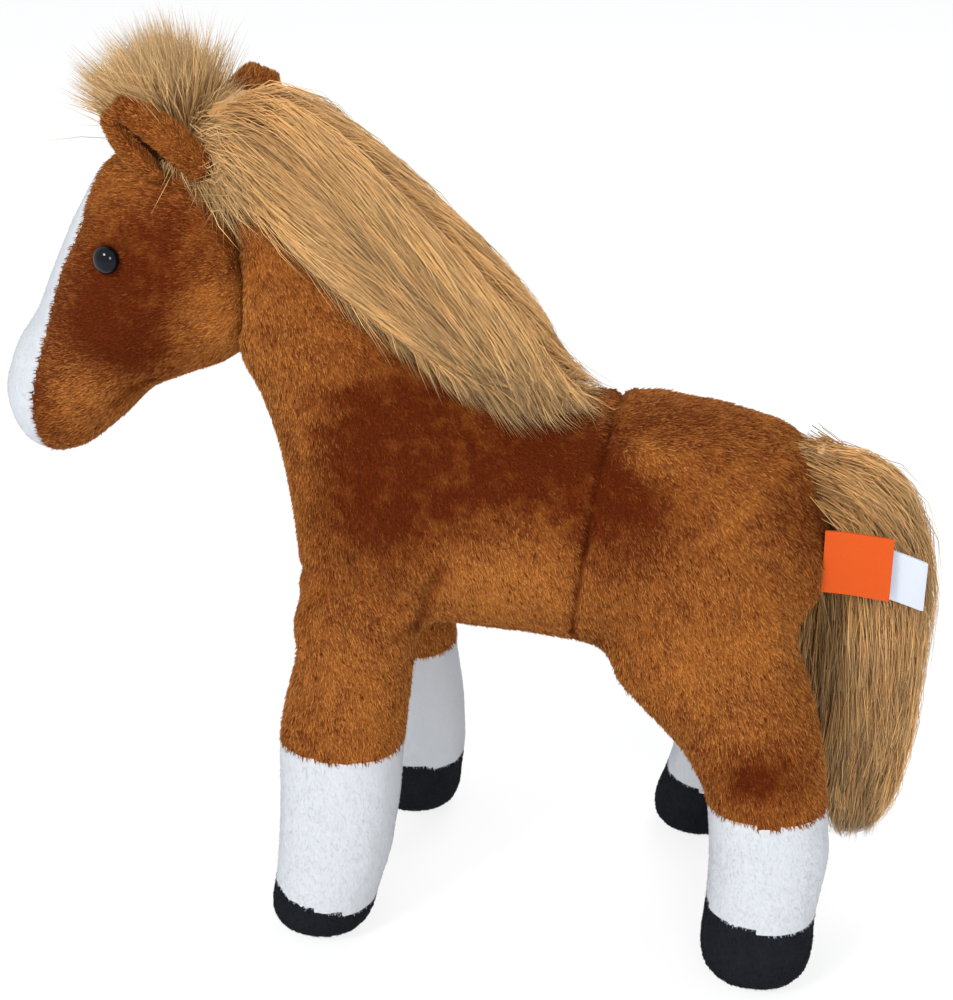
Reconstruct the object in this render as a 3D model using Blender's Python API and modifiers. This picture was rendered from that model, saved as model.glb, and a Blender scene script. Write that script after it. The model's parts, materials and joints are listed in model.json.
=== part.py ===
"""A standing plush horse, in metres: nose along -X, tail along +X, +Z up.

The origin is on the floor, under the middle of the horse. The horse's left side is -Y.
Skins of plush are shells round bodies of stuffing, split where the real skin is sewn.
The head, the ears, the legs, the tail and the sewn-in tabs each turn about their own seam,
and the pieces beside them are cut back by the space that they sweep.
"""

import math
from collections import namedtuple

import bmesh
import bpy
from mathutils import Matrix, Vector
from mathutils.bvhtree import BVHTree

MM = 0.001

# Fabric, seams and gaps
PLUSH = 2.4 * MM
LINING = 1.2 * MM
SOLE_THICKNESS = 3.0 * MM
SEAM_GAP = 0.35 * MM
WELD = 0.001 * MM
JOINT_GAP = 0.7 * MM
OVERRUN = 60 * MM

# Body: a barrel from chest to rump, with its belly above the floor
CHEST_X = -56 * MM
BODY_LENGTH = 177 * MM
BODY_DEPTH = 80 * MM
BODY_WIDTH = 94 * MM
BELLY_HEIGHT = 105.5 * MM

# Neck: rises from the chest and leans forward
NECK_DEPTH = 58 * MM
NECK_RISE = 134 * MM
NECK_WIDTH = 74 * MM

# Head
HEAD_LENGTH = 95 * MM
HEAD_HEIGHT = 107 * MM
HEAD_WIDTH = 67 * MM

# Eyes: a glossy dome on a shank, locked behind the skin by a washer
EYE_RADIUS = 4.5 * MM
EYE_HEIGHT = 3.6 * MM
EYE_SEAT = 0.7 * MM
SHANK_RADIUS = 1.6 * MM
SHANK_LENGTH = 10 * MM
WASHER_RADIUS = 6 * MM
WASHER_THICKNESS = 1.6 * MM
WASHER_SINK = 2.4 * MM

# Ears
EAR_LENGTH = 33 * MM
EAR_WIDTH = 21.5 * MM
EAR_DEPTH = 11 * MM
EAR_SPREAD = 21 * MM

# Hair
FORELOCK_HEIGHT = 41 * MM
FORELOCK_DEPTH = 44 * MM
FORELOCK_WIDTH = 33 * MM
MANE_HEIGHT = 30 * MM
MANE_DROP = 15 * MM
MANE_WIDTH = 68 * MM
TAIL_REACH = 48 * MM
TAIL_LENGTH = 146 * MM
TAIL_THICKNESS = 34 * MM
TAIL_WIDTH = 32 * MM
TAIL_CORE_RADIUS = 3.2 * MM
TAIL_CORE_LENGTH = 20 * MM

# Legs, as they stand: the near pair is the left one
LEG_SPREAD = 27 * MM
FRONT_LEG_SPLAY = 14 * MM
HIND_LEG_SPLAY = 17 * MM
LEG_THICKNESS = 37 * MM
FRONT_LEG_WIDTH = 41 * MM
FRONT_HIP_RADIUS = 20.5 * MM
FRONT_SOCK_TOP = 68.5 * MM
FRONT_HOOF_TOE = 19 * MM
FRONT_HOOF_HEEL = 11 * MM
FRONT_RIGHT_STANCE = 16 * MM
HIND_LEG_WIDTH = 41 * MM
HIND_HIP_RADIUS = 27 * MM
HIND_SOCK_TOP = 61 * MM
HIND_HOOF_TOE = 27 * MM
HIND_HOOF_HEEL = 23 * MM
HIND_RIGHT_STANCE = -25 * MM
HIP_EDGE_RADIUS = 9 * MM

# Tabs sewn into the seam of the rump
ORANGE_TAB_LENGTH = 21 * MM
ORANGE_TAB_HEIGHT = 21 * MM
WHITE_TAB_LENGTH = 32 * MM
WHITE_TAB_HEIGHT = 19 * MM
TAB_THICKNESS = 0.6 * MM
TAB_OFFSET = 21 * MM

# How far each joint turns, in degrees, between its low and its high end
HEAD_RANGE = (-5, 9)
EAR_RANGE = (-10, 25)
LEG_RANGE = (-9, 9)
TAIL_RANGE = (0, 55)
TAB_RANGE = (0, 60)

# Outlines as shares. Body and neck rows: front x, front z, back x, back z, width.
# The body's shares run over its length and depth from the chest's foot, and the neck's
# over its own depth and rise from the chest's front.
NECK_FOOT_SHARES = (0.011, 0.25)
NECK_SHARES = (
    (-0.31, 0.507, -0.483, 0.978, 0.72),
    (-0.166, 0.403, -0.028, 0.925, 0.84),
    (-0.08, 0.276, 0.30, 0.81, 0.93),
    (-0.03, 0.127, 0.64, 0.69, 1.06),
)
NECK_TIP_SHARES = (-0.517, 0.746)
TORSO_SHARES = (
    (0.009, 0.25, 0.335, 1.22, 0.93),
    (0.006, 0.07, 0.388, 1.13, 0.97),
    (0.10, -0.01, 0.445, 1.04, 0.99),
    (0.273, -0.01, 0.539, 0.95, 1.0),
    (0.454, -0.03, 0.667, 0.945, 0.98),
    (0.595, -0.07, 0.782, 0.935, 0.97),
    (0.737, -0.08, 0.892, 0.85, 0.94),
    (0.859, -0.04, 0.953, 0.70, 0.80),
    (0.944, 0.10, 0.991, 0.51, 0.52),
)
RUMP_TIP_SHARES = (1.0, 0.30)
FLANK_TOP_SHARES = (0.607, 1.09)
FLANK_FOOT_SHARES = (0.556, 0.26)
GUSSET_SHARES = (0.26, 0.60, 0.14)

# Head rows: blaze x, blaze z, jaw x, jaw z, width, from the nod axis, nose to neck
HEAD_PLACE_SHARES = (-0.638, 0.7015)
HEAD_SHARES = (
    (-0.658, -0.364, -0.589, -0.605, 0.38),
    (-0.607, -0.25, -0.495, -0.637, 0.54),
    (-0.515, -0.135, -0.379, -0.607, 0.64),
    (-0.442, 0.009, -0.253, -0.512, 0.74),
    (-0.358, 0.159, -0.126, -0.397, 0.86),
    (-0.253, 0.318, 0.021, -0.341, 0.95),
    (-0.095, 0.374, 0.147, -0.299, 1.0),
    (0.063, 0.374, 0.263, -0.224, 0.97),
    (0.179, 0.290, 0.311, -0.093, 0.80),
)
NOSE_TIP_SHARES = (-0.68, -0.449)
HEAD_REAR_SHARES = (0.284, 0.093)
EYE_PLACE_SHARES = (-0.165, 0.075)
EAR_PLACE_SHARES = (0.13, 0.31)
POLL_SHARES = (-0.04, 0.374)

# Leg rows: height, front x, back x, side, as shares of the leg's height, width and thickness
FRONT_LEG_SHARES = (
    (1.0, -0.44, 0.44, 0.88),
    (0.89, -0.50, 0.47, 0.98),
    (0.76, -0.56, 0.43, 1.0),
    (0.64, -0.60, 0.40, 1.0),
    (0.45, -0.624, 0.376, 0.98),
    (0.25, -0.673, 0.30, 0.98),
    (0.13, -0.70, 0.20, 0.99),
    (0.08, -0.74, 0.17, 1.01),
    (0.035, -0.71, 0.14, 0.93),
    (0.012, -0.65, 0.08, 0.80),
    (0.0, -0.58, 0.01, 0.64),
)
HIND_LEG_SHARES = (
    (1.0, -0.60, 0.62, 0.90),
    (0.93, -0.82, 0.76, 1.0),
    (0.86, -0.75, 0.82, 1.03),
    (0.80, -0.55, 0.87, 1.04),
    (0.68, -0.19, 0.95, 1.02),
    (0.55, 0.02, 1.0, 1.0),
    (0.38, 0.073, 1.06, 1.0),
    (0.20, 0.07, 0.98, 0.99),
    (0.09, 0.04, 0.98, 1.02),
    (0.04, 0.07, 0.95, 0.95),
    (0.014, 0.13, 0.89, 0.82),
    (0.0, 0.21, 0.81, 0.66),
)
FRONT_HIP_SHARES = (0.147, 0.05)
HIND_HIP_SHARES = (0.793, 0.125)

# Hair rows. Mane: height, drop and width along the neck's and the body's first sections.
MANE_SHARES = (
    (0.92, 0.45, 0.40),
    (0.86, 1.0, 0.92),
    (0.80, 1.15, 1.0),
    (0.72, 1.0, 1.0),
    (0.54, 0.9, 0.98),
    (0.46, 0.8, 0.92),
    (0.34, 0.6, 0.78),
    (0.08, 0.25, 0.40),
)
# Forelock rows: height, front x, back x, width
FORELOCK_SHARES = (
    (-0.18, -0.22, 0.18, 0.70),
    (0.30, -0.48, 0.24, 0.95),
    (0.58, -0.66, 0.30, 1.0),
    (0.82, -0.42, 0.28, 0.78),
)
FORELOCK_TOP_SHARES = (-0.06, 1.0)
# Tail rows: reach and drop of the hair's middle line, thickness, width, from the root
TAIL_ROOT_SHARE = 0.80
TAIL_SHARES = (
    (0.02, 0.0, 0.36, 0.42),
    (0.28, 0.005, 0.58, 0.66),
    (0.52, 0.09, 0.84, 0.86),
    (0.64, 0.21, 0.96, 0.96),
    (0.67, 0.37, 1.0, 1.0),
    (0.69, 0.55, 0.94, 1.0),
    (0.68, 0.74, 0.84, 0.92),
    (0.62, 0.89, 0.62, 0.74),
)
TAIL_END_SHARES = (0.50, 1.0)
TAB_HEIGHT_SHARE = 0.40

# White blaze: its seam with the brown covers, seen from the side, forehead to chin
BLAZE_SEAM_SHARES = (
    (-0.20, 0.52),
    (-0.235, 0.31),
    (-0.28, 0.14),
    (-0.365, 0.0),
    (-0.41, -0.13),
    (-0.465, -0.26),
    (-0.505, -0.38),
    (-0.52, -0.50),
    (-0.50, -0.75),
)

# Ears: which way each points, which way its back faces, and the shape of its layers
EAR_LEFT_LEAN = (-0.70, -0.18, 0.69)
EAR_LEFT_BACK = (0.08, 0.96, 0.26)
EAR_RIGHT_LEAN = (0.30, 0.36, 0.88)
EAR_RIGHT_BACK = (0.75, -0.65, 0.1)
EAR_CURL = math.radians(155)
EAR_ROOT_SHARE = 0.25
EAR_TAPER_SHARE = 0.66
EAR_FULLNESS = 0.6
EAR_ROWS = 5
EAR_COLUMNS = 10
EAR_LINING_ROWS = 4
EAR_HEM = 1

SIDE_AXIS = Vector((0, 1, 0))
NOD_AXIS = Vector((0, -1, 0))
TAIL_AXIS = Vector((0, -1, 0))
FOLD_AXIS = Vector((0, 1, 0))
TAB_AXIS = Vector((0, 0, -1))

RING_POINTS = 14
TURNED_STEPS = 16
EYE_STEPS = 12
DOME_STEPS = 4
HIP_EDGE_STEPS = 2
FULL_ROUND = 2.2
FULL_HAIR = 2.8

Finish = namedtuple("Finish", "name colour roughness")
CHESTNUT = Finish("chestnut plush", (0.42, 0.155, 0.04), 0.9)
WHITE_PLUSH = Finish("white plush", (0.78, 0.81, 0.86), 0.9)
BLACK_PLUSH = Finish("black plush", (0.018, 0.019, 0.022), 0.85)
HAIR = Finish("golden long pile", (0.58, 0.36, 0.17), 0.85)
DARK_LINING = Finish("ear lining", (0.22, 0.075, 0.02), 0.9)
STUFFING = Finish("polyester fibre stuffing", (0.85, 0.85, 0.83), 1.0)
GLOSS_BLACK = Finish("glossy black plastic", (0.01, 0.012, 0.02), 0.08)
CLEAR_PLASTIC = Finish("white plastic", (0.75, 0.75, 0.73), 0.5)
ORANGE_TAPE = Finish("orange tab", (0.87, 0.13, 0.02), 0.6)
WHITE_TAPE = Finish("white tab", (0.82, 0.83, 0.86), 0.6)

LEG_ENDS = {"front": "front", "rear": "hind"}
Leg = namedtuple("Leg", "name side place radius width shares splay stance sock toe heel")


def new_collection(name):
    collection = bpy.data.collections.new(name)
    bpy.context.scene.collection.children.link(collection)
    return collection


def material_for(finish):
    """The finish's own Principled material, made once."""
    if finish.name in bpy.data.materials:
        return bpy.data.materials[finish.name]
    material = bpy.data.materials.new(finish.name)
    material.use_nodes = True
    shader = material.node_tree.nodes["Principled BSDF"]
    shader.inputs["Base Color"].default_value = (*finish.colour, 1.0)
    shader.inputs["Roughness"].default_value = finish.roughness
    shader.inputs["Metallic"].default_value = 0.0
    material.diffuse_color = (*finish.colour, 1.0)
    return material


# Shapes


def section(front, back, half_width, grow=0.0, power=FULL_ROUND):
    """A closed oval from a front point to a back point, half_width to each side along Y."""
    centre = (front + back) / 2
    along = (back - front) / 2
    half_along = along.length + grow
    along.normalize()
    points = []
    for step in range(RING_POINTS):
        turn = 2 * math.pi * step / RING_POINTS
        near, out = math.cos(turn), math.sin(turn)
        near = math.copysign(abs(near) ** (2 / power), near)
        out = math.copysign(abs(out) ** (2 / power), out)
        side = Vector((0, out * (half_width + grow), 0))
        points.append(centre + along * near * half_along + side)
    return points


def loft(sections, first_tip, last_tip):
    """A closed form through the sections, drawn to a point at each end."""
    form = bmesh.new()
    loops = [[form.verts.new(point) for point in points] for points in sections]
    count = RING_POINTS
    for loop, following in zip(loops, loops[1:]):
        for i in range(count):
            j = (i + 1) % count
            form.faces.new((loop[i], loop[j], following[j], following[i]))
    for loop, tip in ((loops[0], first_tip), (loops[-1], last_tip)):
        end = form.verts.new(tip)
        for i in range(count):
            form.faces.new((loop[i], loop[(i + 1) % count], end))
    bmesh.ops.recalc_face_normals(form, faces=form.faces)
    return form


def pushed(tip, centre, distance):
    """The tip moved away from the centre by a distance."""
    return tip + (tip - centre).normalized() * distance


def turned(profile, steps=TURNED_STEPS):
    """A closed shape turned about Z from (radius, height) points that start and end on the axis."""
    form = bmesh.new()
    points = [form.verts.new((radius, 0, height)) for radius, height in profile]
    edges = [form.edges.new(pair) for pair in zip(points, points[1:])]
    bmesh.ops.spin(
        form, geom=points + edges, cent=(0, 0, 0), axis=(0, 0, 1), angle=2 * math.pi, steps=steps, use_merge=True
    )
    bmesh.ops.remove_doubles(form, verts=form.verts, dist=WELD)
    bmesh.ops.recalc_face_normals(form, faces=form.faces)
    return form


def washer_ring(inner, outer, low, high, steps=TURNED_STEPS):
    """A flat ring turned about Z."""
    form = bmesh.new()
    profile = ((inner, low), (outer, low), (outer, high), (inner, high))
    points = [form.verts.new((radius, 0, height)) for radius, height in profile]
    edges = [form.edges.new((points[i], points[(i + 1) % 4])) for i in range(4)]
    bmesh.ops.spin(
        form, geom=points + edges, cent=(0, 0, 0), axis=(0, 0, 1), angle=2 * math.pi, steps=steps, use_merge=True
    )
    bmesh.ops.recalc_face_normals(form, faces=form.faces)
    return form


def prism(outline):
    """A closed outline in the XZ plane, made a slab that runs past the horse on both sides."""
    form = bmesh.new()
    face = form.faces.new([form.verts.new((point.x, -OVERRUN, point.z)) for point in outline])
    slab = bmesh.ops.extrude_face_region(form, geom=[face])
    moved = [v for v in slab["geom"] if isinstance(v, bmesh.types.BMVert)]
    bmesh.ops.translate(form, vec=(0, 2 * OVERRUN, 0), verts=moved)
    bmesh.ops.recalc_face_normals(form, faces=form.faces)
    return form


def block(low, high):
    """A box between two corners."""
    form = bmesh.new()
    bmesh.ops.create_cube(form, size=1)
    middle = (Vector(low) + Vector(high)) / 2
    size = Vector(high) - Vector(low)
    bmesh.ops.scale(form, vec=size, verts=form.verts)
    bmesh.ops.translate(form, vec=middle, verts=form.verts)
    return form


def mesh_of(form, name):
    """The form as a mesh; the form is left as it is."""
    mesh = bpy.data.meshes.new(name)
    flat = form.copy()
    bmesh.ops.triangulate(flat, faces=flat.faces)
    flat.to_mesh(mesh)
    return mesh


def fused(name, first, second):
    """One closed form from two that overlap."""
    kept, added = (bpy.data.objects.new(name, mesh_of(form, name)) for form in (first, second))
    for obj in (kept, added):
        CUTTERS.objects.link(obj)
    union = kept.modifiers.new("Join", "BOOLEAN")
    union.operation = "UNION"
    union.object = added
    graph = bpy.context.evaluated_depsgraph_get()
    joined = bmesh.new()
    joined.from_mesh(kept.evaluated_get(graph).to_mesh())
    bmesh.ops.remove_doubles(joined, verts=joined.verts, dist=WELD)
    bmesh.ops.triangulate(joined, faces=joined.faces)
    for obj in (kept, added):
        bpy.data.objects.remove(obj)
    return joined


# Pieces and cutters


def empty(name, place, parent=None, upward=None, rearward=None):
    """A joint's or a seat's place. What turns about it is parented to it.

    Its Z axis points upward and its X axis as near to rearward as it can, where these are given.
    """
    obj = bpy.data.objects.new(name, None)
    obj.parent = parent
    obj.empty_display_size = EYE_RADIUS
    frame = Matrix()
    if upward is not None:
        z = upward.normalized()
        y = z.cross(rearward).normalized()
        frame = Matrix((y.cross(z), y, z)).transposed().to_4x4()
    obj.matrix_local = Matrix.Translation(place) @ frame
    HORSE.objects.link(obj)
    bpy.context.view_layer.update()
    return obj


def cutter(name, form, parent=None, placed=Matrix()):
    """A hidden shape that cuts or trims pieces."""
    obj = bpy.data.objects.new(name, mesh_of(form, name))
    obj.parent = parent
    obj.matrix_local = placed
    obj.display_type = "WIRE"
    obj.hide_render = True
    CUTTERS.objects.link(obj)
    return obj


def piece(name, form, finish, parent=None, within=(), without=()):
    """A named solid: the form, kept within some cutters and cut by others."""
    obj = bpy.data.objects.new(name, mesh_of(form, name))
    obj.parent = parent
    obj.data.materials.append(material_for(finish))
    HORSE.objects.link(obj)
    for operation, cutters in (("INTERSECT", within), ("DIFFERENCE", without)):
        for other in cutters:
            cut = obj.modifiers.new(other.name, "BOOLEAN")
            cut.operation = operation
            cut.object = other
    obj.data.shade_smooth()
    obj.data.set_sharp_from_angle(angle=math.radians(40))
    return obj


def swept(form, axis, limits):
    """The convex space round a form at rest and at both limits, about an axis through its own origin."""
    hull = bmesh.new()
    for angle in {0, *limits}:
        turn = Matrix.Rotation(math.radians(angle), 3, axis)
        for vert in form.verts:
            hull.verts.new(turn @ vert.co)
    made = bmesh.ops.convex_hull(hull, input=hull.verts)
    bmesh.ops.delete(hull, geom=made["geom_interior"], context="VERTS")
    bmesh.ops.recalc_face_normals(hull, faces=hull.faces)
    return hull


def met_by(name, form, carrier, pivot, axis, limits):
    """Cutters of a fixed form, as a piece that turns about the pivot meets it at rest and at its limits."""
    rest = pivot.matrix_world.inverted()
    if carrier:
        rest = rest @ carrier.matrix_world
    return [
        cutter(f"{name} met at {angle}", form, pivot, Matrix.Rotation(math.radians(-angle), 4, axis) @ rest)
        for angle in sorted({0, *limits})
    ]


def surface_point(form, start, direction):
    """Where a ray meets the form, and the normal there."""
    place, normal, _, _ = BVHTree.FromBMesh(form).ray_cast(start, direction)
    return place, normal


# Places on the body


def body_point(x_share, z_share):
    return Vector((CHEST_X + x_share * BODY_LENGTH, 0, BELLY_HEIGHT + z_share * BODY_DEPTH))


def neck_point(x_share, z_share):
    return body_point(*NECK_FOOT_SHARES) + Vector((x_share * NECK_DEPTH, 0, z_share * NECK_RISE))


def head_point(x_share, z_share):
    """A place on the head's middle plane, from the nod axis."""
    return Vector((x_share * HEAD_LENGTH, 0, z_share * HEAD_HEIGHT))


def neck_and_body_rows():
    """Front point, back point and half width of every section, from the head to the rump."""
    rows = [
        (neck_point(fx, fz), neck_point(bx, bz), width * NECK_WIDTH / 2)
        for fx, fz, bx, bz, width in NECK_SHARES
    ]
    rows += [
        (body_point(fx, fz), body_point(bx, bz), width * BODY_WIDTH / 2)
        for fx, fz, bx, bz, width in TORSO_SHARES
    ]
    return rows


def body_form(grow=0.0):
    """Neck and body as one stuffed form."""
    rows = neck_and_body_rows()
    centres = [(front + back) / 2 for front, back, _ in rows]
    return loft(
        [section(front, back, half, grow) for front, back, half in rows],
        pushed(neck_point(*NECK_TIP_SHARES), centres[0], grow),
        pushed(body_point(*RUMP_TIP_SHARES), centres[-1], grow),
    )


def head_form(grow=0.0):
    """The head from its nod axis: a cheek that tapers to the muzzle."""
    rows = [
        (head_point(tx, tz), head_point(jx, jz), width * HEAD_WIDTH / 2)
        for tx, tz, jx, jz, width in HEAD_SHARES
    ]
    centres = [(top + jaw) / 2 for top, jaw, _ in rows]
    return loft(
        [section(top, jaw, half, grow) for top, jaw, half in rows],
        pushed(head_point(*NOSE_TIP_SHARES), centres[0], grow),
        pushed(head_point(*HEAD_REAR_SHARES), centres[-1], grow),
    )


def leg_column(leg, grow=0.0):
    """The column of a leg, from the height of its hip axis down to where it stands flat."""
    rows = []
    floor = -leg.place.z - grow
    for height, front, back, side in leg.shares:
        z = floor * (1 - height)
        lean = leg.stance * (1 - height)
        y = leg.side * leg.splay * (1 - height)
        rows.append((
            Vector((front * leg.width + lean, y, z)),
            Vector((back * leg.width + lean, y, z)),
            side * LEG_THICKNESS / 2,
        ))
    ends = [(front + back) / 2 for front, back, _ in (rows[0], rows[-1])]
    return loft([section(front, back, half, grow) for front, back, half in rows], ends[0], ends[1])


def leg_hip(leg, grow=0.0):
    """The round top of a leg, which turns about the hip axis in the body."""
    half = LEG_THICKNESS / 2 + grow
    radius = leg.radius + grow
    edge = HIP_EDGE_RADIUS
    turns = [math.pi / 2 * step / HIP_EDGE_STEPS for step in range(HIP_EDGE_STEPS + 1)]
    corner = [(radius - edge + edge * math.cos(turn), half - edge + edge * math.sin(turn)) for turn in turns]
    profile = [(0, -half)] + [(r, -z) for r, z in reversed(corner)] + corner + [(0, half)]
    hip = turned(profile)
    bmesh.ops.rotate(hip, verts=hip.verts, matrix=Matrix.Rotation(math.pi / 2, 3, "X"))
    return hip


def leg_form(leg, grow=0.0):
    """A leg's column and round top as one form."""
    return fused(f"{leg.name} form", leg_column(leg, grow), leg_hip(leg, grow))


def mane_form():
    """Long pile astride the crest of the neck, from poll to withers."""
    rows = []
    for (front, back, _), (height, drop, width) in zip(neck_and_body_rows(), MANE_SHARES):
        up = (back - front).normalized()
        low = back - up * drop * MANE_DROP
        high = back + up * height * MANE_HEIGHT
        rows.append((low, high, width * MANE_WIDTH / 2))
    ends = [(low + high) / 2 for low, high, _ in (rows[0], rows[-1])]
    return loft([section(low, high, half, 0, FULL_HAIR) for low, high, half in rows], ends[0], ends[1])


def forelock_form(grow=0.0):
    """The tuft in front of the ears, from the poll up and forward."""
    poll = head_point(*POLL_SHARES)
    rows = []
    for height, front, back, width in FORELOCK_SHARES:
        z = Vector((0, 0, height * FORELOCK_HEIGHT))
        rows.append((
            poll + z + Vector((front * FORELOCK_DEPTH, 0, 0)),
            poll + z + Vector((back * FORELOCK_DEPTH, 0, 0)),
            width * FORELOCK_WIDTH / 2,
        ))
    top = poll + Vector((FORELOCK_TOP_SHARES[0] * FORELOCK_DEPTH, 0, FORELOCK_TOP_SHARES[1] * FORELOCK_HEIGHT))
    foot = (rows[0][0] + rows[0][1]) / 2
    sections = [section(front, back, half, grow, FULL_HAIR) for front, back, half in rows]
    return loft(sections, foot, pushed(top, foot, grow))


def tail_middle():
    """The tail's middle line from its root, with the half thickness and half width there."""
    return [
        (Vector((reach * TAIL_REACH, 0, -drop * TAIL_LENGTH)), thick * TAIL_THICKNESS / 2, wide * TAIL_WIDTH / 2)
        for reach, drop, thick, wide in TAIL_SHARES
    ]


def tail_form():
    """The tail's hair from its root: out from the rump, over, and down."""
    rows = tail_middle()
    end = Vector((TAIL_END_SHARES[0] * TAIL_REACH, 0, -TAIL_END_SHARES[1] * TAIL_LENGTH))
    line = [middle for middle, _, _ in rows] + [end]
    sections = []
    for i, (middle, thick, wide) in enumerate(rows):
        ahead = (line[i + 1] - line[max(i - 1, 0)]).normalized()
        across = Vector((ahead.z, 0, -ahead.x))
        sections.append(section(middle - across * thick, middle + across * thick, wide, 0, FULL_HAIR))
    return loft(sections, line[0], end)


def ear_layer(inset, thickness, rows=EAR_ROWS, hem=0):
    """One layer of an ear: cloth curled round +Z with its slit towards -X, given a thickness.

    It takes the lowest rows of the ear's grid, and leaves out a hem of columns along each edge of the slit.
    """
    sheet = bmesh.new()
    grid = []
    for i in range(rows + 1):
        up = i / EAR_ROWS
        size = math.sin(math.pi * (EAR_ROOT_SHARE + EAR_TAPER_SHARE * up)) ** EAR_FULLNESS
        half_width = size * EAR_WIDTH / 2 - PLUSH / 2 - inset
        half_depth = math.sqrt(size) * EAR_DEPTH / 2 - PLUSH / 2 - inset
        line = []
        for j in range(hem, EAR_COLUMNS + 1 - hem):
            turn = EAR_CURL * (2 * j / EAR_COLUMNS - 1)
            place = (half_depth * math.cos(turn), half_width * math.sin(turn), up * EAR_LENGTH)
            line.append(sheet.verts.new(place))
        grid.append(line)
    for below, above in zip(grid, grid[1:]):
        for j in range(len(below) - 1):
            sheet.faces.new((below[j], below[j + 1], above[j + 1], above[j]))
    return solidified(sheet, thickness)


def solidified(sheet, thickness):
    """An open sheet made a closed layer, half its thickness to each side."""
    obj = bpy.data.objects.new("layer", mesh_of(sheet, "layer"))
    CUTTERS.objects.link(obj)
    solid = obj.modifiers.new("Thickness", "SOLIDIFY")
    solid.thickness = thickness
    solid.offset = 0.0
    graph = bpy.context.evaluated_depsgraph_get()
    layer = bmesh.new()
    layer.from_mesh(obj.evaluated_get(graph).to_mesh())
    bpy.data.objects.remove(obj)
    bmesh.ops.recalc_face_normals(layer, faces=layer.faces)
    return layer


def eye_profile(grow=0.0):
    """Half of an eye's outline, from the foot of its shank to the top of its dome."""
    shank = SHANK_RADIUS + grow
    rim = EYE_RADIUS + grow
    seat = -EYE_SEAT
    points = [(0, -SHANK_LENGTH - grow), (shank, -SHANK_LENGTH - grow), (shank, seat - grow), (rim, seat - grow)]
    for step in range(1, DOME_STEPS):
        turn = math.pi / 2 * step / DOME_STEPS
        points.append((rim * math.cos(turn), seat + (EYE_HEIGHT + grow) * math.sin(turn)))
    return points + [(0, seat + EYE_HEIGHT + grow)]


# The pieces of each part of the horse


def all_legs():
    """The four legs as they stand."""
    legs = []
    for side_name, side in (("left", -1), ("right", 1)):
        front = body_point(*FRONT_HIP_SHARES) + Vector((0, side * LEG_SPREAD, 0))
        hind = body_point(*HIND_HIP_SHARES) + Vector((0, side * LEG_SPREAD, 0))
        right = max(side, 0)
        legs.append(Leg(
            f"front_{side_name}", side, front, FRONT_HIP_RADIUS, FRONT_LEG_WIDTH, FRONT_LEG_SHARES,
            FRONT_LEG_SPLAY, right * FRONT_RIGHT_STANCE, FRONT_SOCK_TOP, FRONT_HOOF_TOE, FRONT_HOOF_HEEL,
        ))
        legs.append(Leg(
            f"hind_{side_name}", side, hind, HIND_HIP_RADIUS, HIND_LEG_WIDTH, HIND_LEG_SHARES,
            HIND_LEG_SPLAY, right * HIND_RIGHT_STANCE, HIND_SOCK_TOP, HIND_HOOF_TOE, HIND_HOOF_HEEL,
        ))
    return legs


def build_leg(leg):
    """Brown sleeve, white sock, black hoof and sole round one stuffed core. Returns the hip's space."""
    pivot = empty(f"{leg.name} hip axis", leg.place)
    floor = -leg.place.z
    far = OVERRUN - floor
    gap = SEAM_GAP / 2
    _, hoof_front, hoof_back, _ = leg.shares[-3]
    hoof_middle = leg.stance + (hoof_front + hoof_back) / 2 * leg.width
    tilt = math.atan2(leg.toe - leg.heel, (hoof_back - hoof_front) * leg.width)
    hoof_seam = Matrix.Translation((hoof_middle, 0, floor + (leg.toe + leg.heel) / 2))
    hoof_seam = hoof_seam @ Matrix.Rotation(tilt, 4, "Y")

    def level(name, low, high, placed=Matrix()):
        return cutter(f"{leg.name} {name}", block((-far, -far, low), (far, far, high)), pivot, placed)

    above_sock = level("above sock", floor + leg.sock + gap, far)
    below_sock = level("below sock", -far, floor + leg.sock - gap)
    above_hoof = level("above hoof", gap, far, hoof_seam)
    below_hoof = level("below hoof", -far, -gap, hoof_seam)
    above_sole = level("above sole", floor + SOLE_THICKNESS + gap, far)
    below_sole = level("below sole", -far, floor + SOLE_THICKNESS - gap)
    core = cutter(f"{leg.name} core", leg_form(leg, -PLUSH), pivot)
    outer = leg_form(leg)
    piece(f"{leg.name}_sleeve", outer, CHESTNUT, pivot, [above_sock], [core])
    piece(f"{leg.name}_sock", outer, WHITE_PLUSH, pivot, [below_sock, above_hoof], [core])
    piece(f"{leg.name}_hoof", outer, BLACK_PLUSH, pivot, [below_hoof, above_sole], [core])
    piece(f"{leg.name}_sole", outer, BLACK_PLUSH, pivot, [below_sole])
    piece(f"{leg.name}_stuffing", leg_form(leg, -PLUSH - SEAM_GAP), STUFFING, pivot, [above_sole])
    return [
        cutter(f"{leg.name} hip space", leg_hip(leg, JOINT_GAP), pivot),
        cutter(f"{leg.name} column space", swept(leg_column(leg, JOINT_GAP), SIDE_AXIS, LEG_RANGE), pivot),
    ]


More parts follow.
